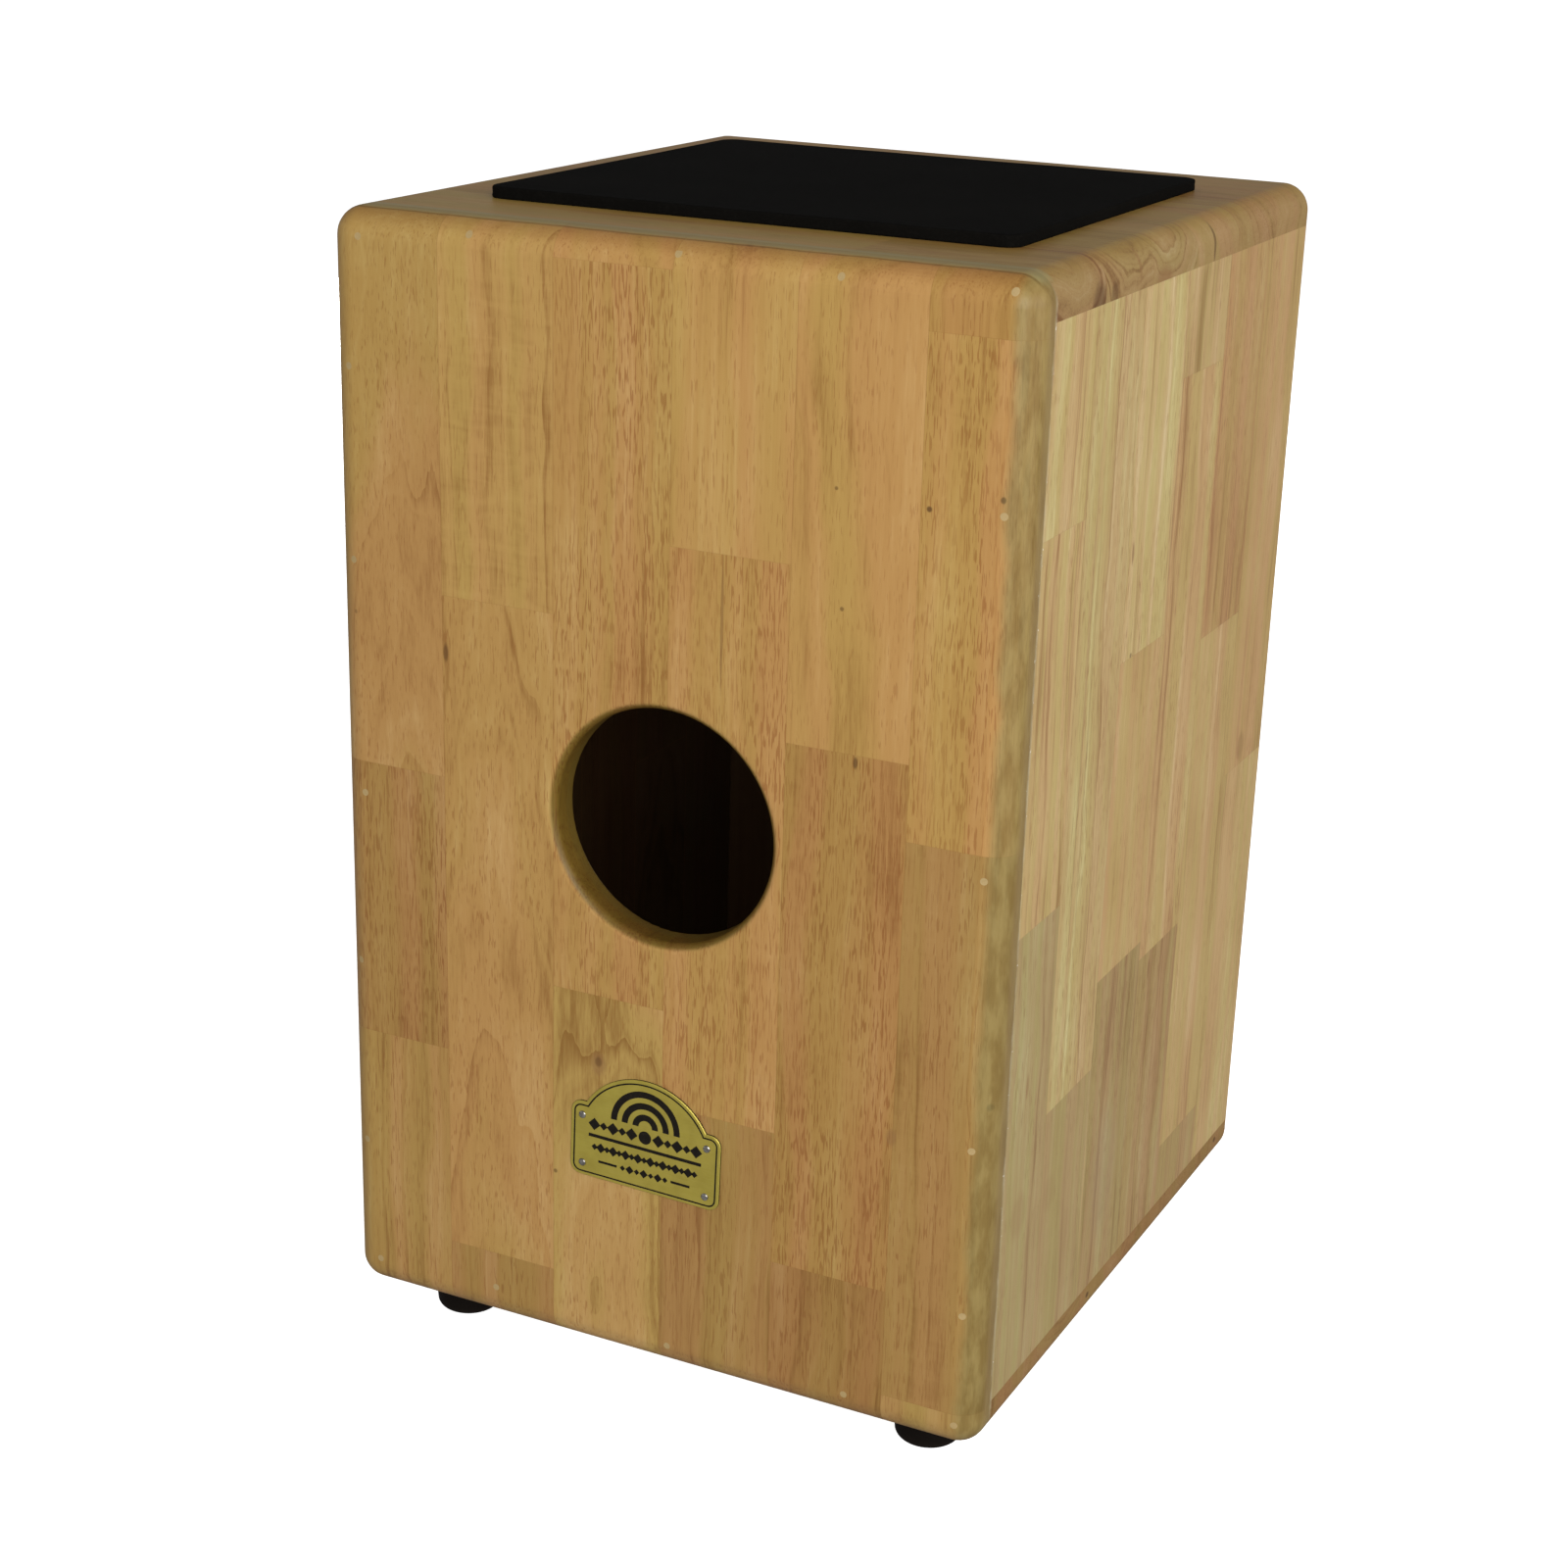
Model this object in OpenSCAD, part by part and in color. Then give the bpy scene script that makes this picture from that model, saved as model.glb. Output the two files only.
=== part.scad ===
// Cajon: a box drum that the player sits on.
// Millimetres, +Z up. The origin is on the floor under the middle of the case.
// The playing face (tapa) looks along -Y and the sound-hole panel along +Y.
// Left and right are the seated player's, who faces -Y: left is +X, right is -X.

/* [Case] */
// Width of the case
case_w = 305; // [290:1:330]
// Depth of the case, from the playing face to the sound-hole panel
case_d = 330; // [300:1:350]
// Height of the case without its feet
case_h = 480; // [460:1:500]
// Thickness of the top, bottom and side panels
panel_t = 18; // [16:1:20]
// Thickness of the sound-hole panel
rear_t = 16; // [12:1:18]
// Thickness of the plywood playing face
tapa_t = 3; // [2.5:0.5:4]
// Radius of the edges around the rear and along the depth
long_r = 12; // [11:0.5:12]
// Radius of the edges around the playing face
front_r = 9; // [6:0.5:10]

/* [Sound hole] */
// Radius of the straight bore
hole_r = 49.5; // [40:0.5:60]
// Rounding of the outer lip
hole_round = 4; // [2:0.5:6]
// Rounding of the inner lip
hole_in_round = 2; // [1:0.5:4]
// Centre of the hole, sideways
hole_x = -2.5; // [-20:0.5:20]
// Centre of the hole above the bottom of the case
hole_z = 246; // [200:1:300]

/* [Seat pad] */
// Width of the foam pad
pad_w = 232; // [150:1:270]
// Depth of the foam pad
pad_d = 215; // [150:1:270]
// Thickness of the foam pad
pad_t = 5; // [3:0.5:10]
// Corner radius of the foam pad
pad_r = 7; // [2:1:30]
// How far the pad is stuck off square, in degrees
pad_turn = 0.5; // [-3:0.5:3]

/* [Feet] */
// Height of a foot
foot_h = 21; // [14:1:25]
// Radius of a foot where it meets the case
foot_top_r = 16; // [15:0.5:20]
// Radius of a foot at the floor
foot_low_r = 14.5; // [13:0.5:18]
// From the side of the case to the middle of a foot
foot_in_x = 36.5; // [25:0.5:60]
// From the front or rear of the case to the middle of a foot
foot_in_y = 39; // [25:0.5:60]

/* [Name plate] */
// Width of the plate
plate_w = 71.5; // [50:0.5:90]
// Height of the plate's straight sides
plate_side_h = 34.5; // [20:0.5:50]
// Height of the plate at the top of its arch
plate_h = 51; // [30:0.5:60]
// Radius of the arch
arch_r = 33; // [30:0.5:35]
// Thickness of the plate
plate_t = 1; // [0.5:0.1:2]
// Middle of the plate, sideways
plate_x = 3; // [-20:0.5:20]
// Lower edge of the plate above the bottom of the case
plate_z = 82.5; // [60:0.5:120]
// How far the plate is fixed off level, in degrees
plate_turn = 1.4; // [-3:0.1:3]

/* [Snares] */
// Height of the snare bar's axis above the bottom of the case
bar_z = 422; // [380:1:425]
// From the inner face of the tapa to the snare bar's axis
bar_in = 15; // [14:0.5:25]
// Radius of the snare bar
bar_r = 11; // [10:0.5:12]
// Radius of the tenons at the ends of the bar
tenon_r = 8; // [6:0.5:8]
// Running clearance of a tenon in its bearing block
tenon_gap = 0.05; // [0.02:0.01:0.1]
// Number of coiled wires in each snare
coil_count = 10; // [6:1:12]
// Distance between two coiled wires
coil_pitch = 5; // [4:0.5:6]
// Outer radius of a coiled wire
coil_r = 1.2; // [1:0.1:1.5]
// Length of a coiled wire
coil_len = 130; // [80:5:150]
// Lean of the snares towards the tapa, in degrees
snare_lean = 1.6; // [0:0.1:1.6]

/* [Hidden] */
$fn = 64;

// Faces of the case
z0 = foot_h;
z1 = foot_h + case_h;
half_w = case_w / 2;
y_front = -case_d / 2;
y_rear = case_d / 2;
y_tapa = y_front + tapa_t;
y_joint = y_rear - rear_t;
x_inner = half_w - panel_t;
z_floor = z0 + panel_t;
z_ceil = z1 - panel_t;
// Where the roundings of the case start
x_round = half_w - long_r;
z_round_low = z0 + long_r;
z_round_high = z1 - long_r;
y_round = y_front + front_r;
// Gap round a fixed screw or nail in its hole
fix_gap = 0.05;

// Colours
case_wood = "burlywood";
side_wood = "wheat";
ply_wood = "tan";
block_wood = "peru";
foam = "#222222";
rubber = "#181818";
steel = "silver";
brass = "goldenrod";
filler = "cornsilk";

// Screws that hold the tapa: along the top and bottom edges, then along the sides
screw_in = 12.5;
tapa_rows = [for (x = [-120, -40, 40, 120], z = [z0 + screw_in, z1 - screw_in]) [x, z]];
tapa_cols = [for (s = [-1, 1], z = [110, 240, 370]) [s * (half_w - screw_in), z0 + z]];
tapa_points = concat(tapa_rows, tapa_cols);
tapa_screw_r = 1.75;
tapa_screw_len = 22;
tapa_head_r = 3.75;
tapa_head_h = 1.8;

// Brads that hold the sound-hole panel, as driven by hand: x and height above the case's bottom
brads_top = [[137, 469], [86, 474], [-6, 475], [-74, 473], [-142, 474]];
brads_left = [[143, 417], [143, 337], [140, 236], [145, 158], [144, 72], [138, 14]];
brads_low = [[77, 16], [-9, 11], [-93, 12], [-143, 12]];
brads_right = [[-143, 393], [-143, 251], [-144, 137], [-144, 63]];
brad_points = concat(brads_top, brads_left, brads_low, brads_right);
brad_r = 0.8;
brad_tip_y = y_joint - 19;
filler_r = 1.5;
filler_y = y_rear - 3;

// Feet
foot_x = half_w - foot_in_x;
foot_y = case_d / 2 - foot_in_y;
foot_edge_r = 4;
foot_recess_r = 7.5;
foot_recess_h = 6;
foot_screw_r = 2;
foot_screw_top = z0 + 14;
washer_r = 6.5;
washer_t = 1;
foot_head_r = 4;
foot_head_h = 2.6;

// Name plate
pin_marks = [[-29.3, 5.7], [29.8, 5.8], [-29.3, 28], [30.3, 28.2]];
pin_points = [for (p = pin_marks) [
    p[0] * cos(plate_turn) - p[1] * sin(plate_turn),
    p[0] * sin(plate_turn) + p[1] * cos(plate_turn)
]];
pin_r = 0.8;
pin_head_r = 1.7;
pin_head_h = 0.8;
pin_len = 8;
plate_corner_r = 5;

// Snare bar and its bearing blocks
bar_y = y_tapa + bar_in;
axis_z = z0 + bar_z;
block_t = 20;
block_front = y_tapa + 2;
block_back = block_front + 30;
block_half_h = 20;
x_block = x_inner - block_t;
bar_end_gap = 0.5;
tenon_len = 18;
tenon_end = x_block + tenon_len;
block_screw_r = 1.75;
block_screw_len = 32;
block_head_r = 3.5;
block_head_h = 2.2;
block_screw_y = block_back - 6;
block_screw_dz = 13;

// Snares, in the bar's own frame: y and z count from its axis
flat_y = -8;
snare_x = 58;
plate_bar_w = 52;
crimp_t = 2.6;
crimp_low = -12;
crimp_high = -2;
coil_y = flat_y - 1.3;
snare_screw_r = 1.25;
snare_screw_len = 9;
snare_head_r = 2.5;
snare_head_h = 1.2;
snare_screw_dx = 21;
snare_screw_z = -6;

// Lock screw: it clamps the right tenon from behind
lock_x = -(x_inner - block_t / 2);
lock_r = 3;
lock_gap = 0.05;
insert_r = 5;
insert_len = 8;
lock_tip_y = bar_y + tenon_r + 0.4;
knob_r = 8.5;
knob_front = block_back + 1.5;
knob_h = 8;
knob_slot_w = 1.6;
knob_slot_d = 1.5;

// ---------- Helpers ----------

// Extrudes an (x, z) outline from y_a to y_b
module along_y(y_a, y_b) {
    translate([0, y_b, 0]) rotate([90, 0, 0]) linear_extrude(y_b - y_a) children();
}

// Extrudes a (y, z) outline from x_a to x_b
module along_x(x_a, x_b) {
    translate([x_a, 0, 0]) rotate([90, 0, 90]) linear_extrude(x_b - x_a) children();
}

// A box between two opposite corners
module span(a, b) {
    translate(a) cube(b - a);
}

// A cylinder along Y, from y_a to y_b
module rod_y(x, z, r, y_a, y_b) {
    translate([x, y_b, z]) rotate([90, 0, 0]) cylinder(r = r, h = y_b - y_a);
}

// One quarter of a disc, in the direction of the signs sx and sy
module quarter(r, sx, sy) {
    intersection() {
        circle(r = r);
        translate([sx > 0 ? 0 : -r, sy > 0 ? 0 : -r]) square(r);
    }
}

// A rectangle with rounded corners, between two opposite corners
module round_rect(a, b, r) {
    translate([a[0] + r, a[1]]) square([b[0] - a[0] - 2 * r, b[1] - a[1]]);
    translate([a[0], a[1] + r]) square([b[0] - a[0], b[1] - a[1] - 2 * r]);
    for (x = [a[0] + r, b[0] - r], y = [a[1] + r, b[1] - r]) translate([x, y]) circle(r = r);
}

// A low domed head, standing on z = 0 and pointing along +Z
module domed_head(r, h) {
    dome_r = (r * r + h * h) / (2 * h);
    rotate_extrude() intersection() {
        translate([0, h - dome_r]) circle(r = dome_r);
        square([r, h]);
    }
}

// ---------- Outer form of the case ----------

// The four corners of the case, as a quarter turn of a profile about an axis along Y
module four_corners() {
    for (s = [[1, 1, 0], [-1, 1, 90], [-1, -1, 180], [1, -1, 270]]) {
        translate([s[0] * x_round, 0, s[1] > 0 ? z_round_high : z_round_low])
            rotate([90, 0, 0]) rotate([0, 0, s[2]]) rotate_extrude(angle = 90) children();
    }
}

// The straight middle of the case
module mid_form() {
    along_y(y_round, y_joint) round_rect([-half_w, z0], [half_w, z1], long_r);
}

// The front end of the case, rounded towards the playing face
module front_form() {
    flat = long_r - front_r;
    along_x(-x_round, x_round) {
        translate([y_front, z0 + front_r]) square([front_r, case_h - 2 * front_r]);
        translate([y_round, z0 + front_r]) quarter(front_r, -1, -1);
        translate([y_round, z1 - front_r]) quarter(front_r, -1, 1);
    }
    for (s = [-1, 1]) {
        translate([0, 0, z_round_low]) linear_extrude(z_round_high - z_round_low) {
            translate([s > 0 ? x_round : -x_round - flat, y_front]) square([flat, front_r]);
            translate([s * (half_w - front_r), y_round]) quarter(front_r, s, -1);
        }
    }
    four_corners() translate([0, -y_round]) {
        square([flat, front_r]);
        translate([flat, 0]) quarter(front_r, 1, 1);
    }
}

// The rear panel's outer form: its whole thickness is rounded at the edge
module rear_form() {
    along_x(-x_round, x_round) {
        translate([y_joint, z_round_low]) square([rear_t, z_round_high - z_round_low]);
        if (rear_t > long_r) {
            translate([y_joint, z0]) square([rear_t - long_r, z_round_low - z0]);
            translate([y_joint, z_round_high]) square([rear_t - long_r, z1 - z_round_high]);
        }
        intersection() {
            translate([y_joint, z0]) square([rear_t, case_h]);
            union() {
                translate([y_rear - long_r, z_round_low]) quarter(long_r, 1, -1);
                translate([y_rear - long_r, z_round_high]) quarter(long_r, 1, 1);
            }
        }
    }
    for (s = [-1, 1]) {
        translate([0, 0, z_round_low]) linear_extrude(z_round_high - z_round_low)
            rear_edge(s);
    }
    four_corners() {
        if (rear_t > long_r) translate([0, -y_rear + long_r]) square([long_r, rear_t - long_r]);
        translate([0, -y_rear + long_r]) quarter(long_r, 1, -1);
    }
}

// The rounded side edge of the rear panel, seen from above
module rear_edge(s) {
    if (rear_t > long_r)
        translate([s > 0 ? x_round : -half_w, y_joint]) square([long_r, rear_t - long_r]);
    translate([s * x_round, y_rear - long_r]) quarter(long_r, s, 1);
}

// ---------- Fastener holes ----------

module tapa_screw_holes(gap) {
    for (p = tapa_points) {
        rod_y(p[0], p[1], tapa_screw_r + gap, y_front - 1, y_front + tapa_screw_len + 1);
    }
}

module brad_holes() {
    for (p = brad_points) rod_y(p[0], z0 + p[1], brad_r + fix_gap, brad_tip_y - 1, y_rear + 1);
}

module foot_screw_holes() {
    at_feet() cylinder(r = foot_screw_r + fix_gap, h = foot_screw_top + 1);
}

module block_screw_holes(s) {
    for (dz = [-block_screw_dz, block_screw_dz]) {
        along_block_screw(s, dz) cylinder(r = block_screw_r + fix_gap, h = block_screw_len + 1);
    }
}

// Places a child, drawn along +Z from the block's inner face, on a bearing block's screw
module along_block_screw(s, dz) {
    translate([s * x_block, block_screw_y, axis_z + dz]) rotate([0, s * 90, 0]) children();
}

module at_feet() {
    for (x = [-foot_x, foot_x], y = [-foot_y, foot_y]) translate([x, y, 0]) children();
}

// ---------- Case ----------

module top_panel() {
    color(case_wood) difference() {
        intersection() {
            union() {
                mid_form();
                front_form();
            }
            span([-half_w, y_tapa, z_ceil], [half_w, y_joint, z1]);
        }
        tapa_screw_holes(fix_gap);
        brad_holes();
    }
}

module bottom_panel() {
    color(case_wood) difference() {
        intersection() {
            union() {
                mid_form();
                front_form();
            }
            span([-half_w, y_tapa, z0], [half_w, y_joint, z_floor]);
        }
        tapa_screw_holes(fix_gap);
        brad_holes();
        foot_screw_holes();
    }
}

module side_panel(s) {
    color(side_wood) difference() {
        translate([0, 0, z_floor]) linear_extrude(z_ceil - z_floor) intersection() {
            union() {
                translate([s > 0 ? x_inner : -half_w, y_round]) square([panel_t, y_joint - y_round]);
                translate([s > 0 ? x_inner : -half_w + front_r, y_front])
                    square([panel_t - front_r, front_r]);
                translate([s * (half_w - front_r), y_round]) quarter(front_r, s, -1);
            }
            translate([s > 0 ? x_inner : -half_w, y_tapa]) square([panel_t, y_joint - y_tapa]);
        }
        tapa_screw_holes(fix_gap);
        brad_holes();
        block_screw_holes(s);
    }
}

module side_panel_left() { side_panel(1); }
module side_panel_right() { side_panel(-1); }

module rear_panel() {
    color(case_wood) difference() {
        rear_form();
        translate([hole_x, 0, z0 + hole_z]) rotate([-90, 0, 0]) sound_hole_cut();
        brad_holes();
        for (p = brad_points) rod_y(p[0], z0 + p[1], filler_r, filler_y, y_rear + 1);
        for (p = pin_points) {
            rod_y(plate_x + p[0], z0 + plate_z + p[1], pin_r + fix_gap, y_rear - pin_len - 1, y_rear + 1);
        }
    }
}

// A bore that opens with a rounded lip towards the outside and a smaller one towards the inside
module sound_hole_cut() {
    lip_y = y_rear - hole_round;
    in_y = y_joint + hole_in_round;
    rotate_extrude() difference() {
        union() {
            translate([0, y_joint - 1]) square([hole_r, rear_t + 2]);
            translate([hole_r, lip_y]) square([hole_round, hole_round + 1]);
            translate([hole_r, y_joint - 1]) square([hole_in_round, hole_in_round + 1]);
        }
        translate([hole_r + hole_round, lip_y]) circle(r = hole_round);
        translate([hole_r + hole_in_round, in_y]) circle(r = hole_in_round);
    }
}

module tapa() {
    color(ply_wood) difference() {
        intersection() {
            front_form();
            span([-half_w, y_front, z0], [half_w, y_tapa, z1]);
        }
        tapa_screw_holes(fix_gap);
    }
}

module tapa_screws() {
    color(steel) for (p = tapa_points) {
        rod_y(p[0], p[1], tapa_screw_r, y_front, y_front + tapa_screw_len);
        translate([p[0], y_front, p[1]]) rotate([90, 0, 0]) domed_head(tapa_head_r, tapa_head_h);
    }
}

module rear_brads() {
    color(steel) for (p = brad_points) rod_y(p[0], z0 + p[1], brad_r, brad_tip_y, filler_y);
}

module brad_fillers() {
    color(filler) intersection() {
        rear_form();
        for (p = brad_points) rod_y(p[0], z0 + p[1], filler_r, filler_y, y_rear);
    }
}

// A three-sided glue block along an inner corner
module corner_block(sx, sz) {
    leg = 22;
    z_in = sz > 0 ? z_ceil : z_floor;
    color(block_wood) along_y(-115, 145) polygon([
        [sx * x_inner, z_in],
        [sx * (x_inner - leg), z_in],
        [sx * x_inner, z_in - sz * leg]
    ]);
}

module corner_block_top_left() { corner_block(1, 1); }
module corner_block_top_right() { corner_block(-1, 1); }
module corner_block_bottom_left() { corner_block(1, -1); }
module corner_block_bottom_right() { corner_block(-1, -1); }

// ---------- Seat pad, feet and name plate ----------

module seat_pad() {
    color(foam) translate([-2, 0, z1]) rotate([0, 0, pad_turn]) linear_extrude(pad_t)
        round_rect([-pad_w / 2, -pad_d / 2], [pad_w / 2, pad_d / 2], pad_r);
}

// A tapered foot with a rounded lower edge and a recess for its screw
module foot(sx, sy) {
    color(rubber) translate([sx * foot_x, sy * foot_y, 0]) difference() {
        union() {
            translate([0, 0, foot_edge_r])
                cylinder(r1 = foot_low_r, r2 = foot_top_r, h = foot_h - foot_edge_r);
            rotate_extrude() {
                square([foot_low_r - foot_edge_r, foot_edge_r]);
                translate([foot_low_r - foot_edge_r, foot_edge_r]) quarter(foot_edge_r, 1, -1);
            }
        }
        translate([0, 0, -1]) cylinder(r = foot_recess_r, h = foot_recess_h + 1);
        cylinder(r = foot_screw_r + fix_gap, h = foot_h + 1);
    }
}

module foot_front_left() { foot(1, -1); }
module foot_front_right() { foot(-1, -1); }
module foot_rear_left() { foot(1, 1); }
module foot_rear_right() { foot(-1, 1); }

module foot_washers() {
    color(steel) at_feet() translate([0, 0, foot_recess_h - washer_t]) difference() {
        cylinder(r = washer_r, h = washer_t);
        translate([0, 0, -1]) cylinder(r = foot_screw_r + fix_gap, h = washer_t + 2);
    }
}

module foot_screws() {
    under = foot_recess_h - washer_t;
    color(steel) at_feet() {
        translate([0, 0, under]) cylinder(r = foot_screw_r, h = foot_screw_top - under);
        translate([0, 0, under]) mirror([0, 0, 1]) domed_head(foot_head_r, foot_head_h);
    }
}

// Plain badge outline: a rounded rectangle with an arch on top
module plate_outline() {
    round_rect([-plate_w / 2, 0], [plate_w / 2, plate_side_h], plate_corner_r);
    intersection() {
        translate([0, plate_h - arch_r]) circle(r = arch_r);
        translate([-plate_w / 2, plate_side_h - plate_corner_r]) square([plate_w, plate_h]);
    }
}

module name_plate() {
    color(brass) difference() {
        translate([plate_x, 0, z0 + plate_z]) along_y(y_rear, y_rear + plate_t)
            rotate(plate_turn) plate_outline();
        for (p = pin_points) {
            rod_y(plate_x + p[0], z0 + plate_z + p[1], pin_r + fix_gap, y_rear - 1, y_rear + plate_t + 1);
        }
    }
}

module plate_pins() {
    top = y_rear + plate_t;
    color(steel) for (p = pin_points) translate([plate_x + p[0], 0, z0 + plate_z + p[1]]) {
        rod_y(0, 0, pin_r, y_rear - pin_len, top);
        translate([0, top, 0]) rotate([-90, 0, 0]) domed_head(pin_head_r, pin_head_h);
    }
}

// ---------- Snare bar and its bearings ----------

module bearing_block(s) {
    x_a = s > 0 ? x_block : -x_inner;
    color(block_wood) difference() {
        span([x_a, block_front, axis_z - block_half_h],
             [x_a + block_t, block_back, axis_z + block_half_h]);
        translate([x_a - 1, bar_y, axis_z]) rotate([0, 90, 0])
            cylinder(r = tenon_r + tenon_gap, h = block_t + 2);
        block_screw_holes(s);
        if (s < 0) {
            rod_y(lock_x, axis_z, insert_r, block_back - insert_len, block_back + 1);
            rod_y(lock_x, axis_z, lock_r + 0.2, bar_y, block_back);
        }
    }
}

module bearing_block_left() { bearing_block(1); }
module bearing_block_right() { bearing_block(-1); }

module bearing_block_screws() {
    color(steel) for (s = [-1, 1], dz = [-block_screw_dz, block_screw_dz]) {
        along_block_screw(s, dz) {
            cylinder(r = block_screw_r, h = block_screw_len);
            mirror([0, 0, 1]) domed_head(block_head_r, block_head_h);
        }
    }
}

module lock_insert() {
    color(brass) difference() {
        rod_y(lock_x, axis_z, insert_r, block_back - insert_len, block_back);
        rod_y(lock_x, axis_z, lock_r + lock_gap, block_back - insert_len - 1, block_back + 1);
    }
}

module lock_screw() {
    knob_back = knob_front + knob_h;
    color(steel) union() {
        rod_y(lock_x, axis_z, lock_r, lock_tip_y, knob_front);
        difference() {
            rod_y(lock_x, axis_z, knob_r, knob_front, knob_back);
            span([lock_x - knob_r - 1, knob_back - knob_slot_d, axis_z - knob_slot_w / 2],
                 [lock_x + knob_r + 1, knob_back + 1, axis_z + knob_slot_w / 2]);
        }
    }
}

// Puts children, drawn about the bar's axis, in place with the snares' lean
module on_bar() {
    translate([0, bar_y, axis_z]) rotate([-snare_lean, 0, 0]) children();
}

module snare_bar() {
    color(ply_wood) on_bar() difference() {
        union() {
            translate([-x_block + bar_end_gap, 0, 0]) rotate([0, 90, 0])
                cylinder(r = bar_r, h = 2 * (x_block - bar_end_gap));
            translate([-tenon_end, 0, 0]) rotate([0, 90, 0])
                cylinder(r = tenon_r, h = 2 * tenon_end);
        }
        for (s = [-1, 1]) {
            span([s * snare_x - plate_bar_w / 2, -bar_r - 1, -bar_r - 1],
                 [s * snare_x + plate_bar_w / 2, flat_y, crimp_high]);
            at_snare_screws(s) cylinder(r = snare_screw_r + fix_gap, h = snare_screw_len + 1);
        }
    }
}

// Places a child, drawn along +Z, on the screws of one snare, pointing into the bar
module at_snare_screws(s) {
    for (dx = [-snare_screw_dx, snare_screw_dx]) {
        translate([s * snare_x + dx, flat_y - crimp_t, snare_screw_z]) rotate([-90, 0, 0]) children();
    }
}

module snare_plate(s) {
    color(brass) on_bar() difference() {
        span([s * snare_x - plate_bar_w / 2, flat_y - crimp_t, crimp_low],
             [s * snare_x + plate_bar_w / 2, flat_y, crimp_high]);
        at_snare_screws(s) translate([0, 0, -1]) cylinder(r = snare_screw_r + fix_gap, h = crimp_t + 2);
    }
}

module snare_plate_left() { snare_plate(1); }
module snare_plate_right() { snare_plate(-1); }

module snare_coils(s) {
    first = -(coil_count - 1) / 2 * coil_pitch;
    color(steel) on_bar() for (i = [0 : coil_count - 1]) {
        translate([s * snare_x + first + i * coil_pitch, coil_y, crimp_low - coil_len])
            cylinder(r = coil_r, h = coil_len);
    }
}

module snare_coils_left() { snare_coils(1); }
module snare_coils_right() { snare_coils(-1); }

module snare_screws() {
    color(steel) on_bar() for (s = [-1, 1]) at_snare_screws(s) {
        cylinder(r = snare_screw_r, h = snare_screw_len);
        mirror([0, 0, 1]) domed_head(snare_head_r, snare_head_h);
    }
}

top_panel();
bottom_panel();
side_panel_left();
side_panel_right();
rear_panel();
tapa();
corner_block_top_left();
corner_block_top_right();
corner_block_bottom_left();
corner_block_bottom_right();
seat_pad();
foot_front_left();
foot_front_right();
foot_rear_left();
foot_rear_right();
foot_screws();
foot_washers();
tapa_screws();
rear_brads();
brad_fillers();
name_plate();
plate_pins();
bearing_block_left();
bearing_block_right();
bearing_block_screws();
lock_insert();
lock_screw();
snare_bar();
snare_plate_left();
snare_plate_right();
snare_coils_left();
snare_coils_right();
snare_screws();
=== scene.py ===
import math
import random

import bmesh
import bpy
from mathutils import Matrix, Vector


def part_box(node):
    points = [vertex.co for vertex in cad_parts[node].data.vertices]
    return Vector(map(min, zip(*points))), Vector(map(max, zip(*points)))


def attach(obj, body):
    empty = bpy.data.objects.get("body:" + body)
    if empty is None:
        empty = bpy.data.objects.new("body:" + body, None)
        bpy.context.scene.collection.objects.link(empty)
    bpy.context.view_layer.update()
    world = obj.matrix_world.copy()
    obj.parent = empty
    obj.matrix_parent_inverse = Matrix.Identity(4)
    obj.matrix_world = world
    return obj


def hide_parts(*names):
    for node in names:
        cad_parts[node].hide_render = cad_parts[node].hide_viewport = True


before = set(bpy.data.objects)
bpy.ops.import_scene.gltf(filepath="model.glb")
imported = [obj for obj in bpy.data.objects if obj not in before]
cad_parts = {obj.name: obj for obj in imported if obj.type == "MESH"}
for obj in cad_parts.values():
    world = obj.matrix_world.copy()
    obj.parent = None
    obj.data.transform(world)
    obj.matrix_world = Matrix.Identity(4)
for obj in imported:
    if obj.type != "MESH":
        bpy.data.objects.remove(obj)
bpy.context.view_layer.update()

# The script's lengths are in millimetres, and MM turns them into Blender's metres.
MM = 0.001


# ---------- The case, as the CAD frame gives it ----------

def box_mm(node):
    """Lowest and highest corners of a CAD node, in millimetres."""
    low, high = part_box(node)
    return [c / MM for c in low], [c / MM for c in high]


REAR_LOW, REAR_HIGH = box_mm("rear_panel")
TAPA_LOW, TAPA_HIGH = box_mm("tapa")
HALF_W = REAR_HIGH[0]
Y_REAR = REAR_HIGH[1]
Y_JOINT = REAR_LOW[1]
Y_FRONT = TAPA_LOW[1]
Z_LOW = REAR_LOW[2]
Z_HIGH = REAR_HIGH[2]
FLOOR_Z = box_mm("bottom_panel")[1][2]
CEILING_Z = box_mm("top_panel")[0][2]
INNER_X = box_mm("side_panel_left")[0][0]
HOLE_CENTRE = (-2.5, Y_REAR, Z_LOW + 246)
HOLE_R = 49.5


# ---------- Short calls for building materials ----------

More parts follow.
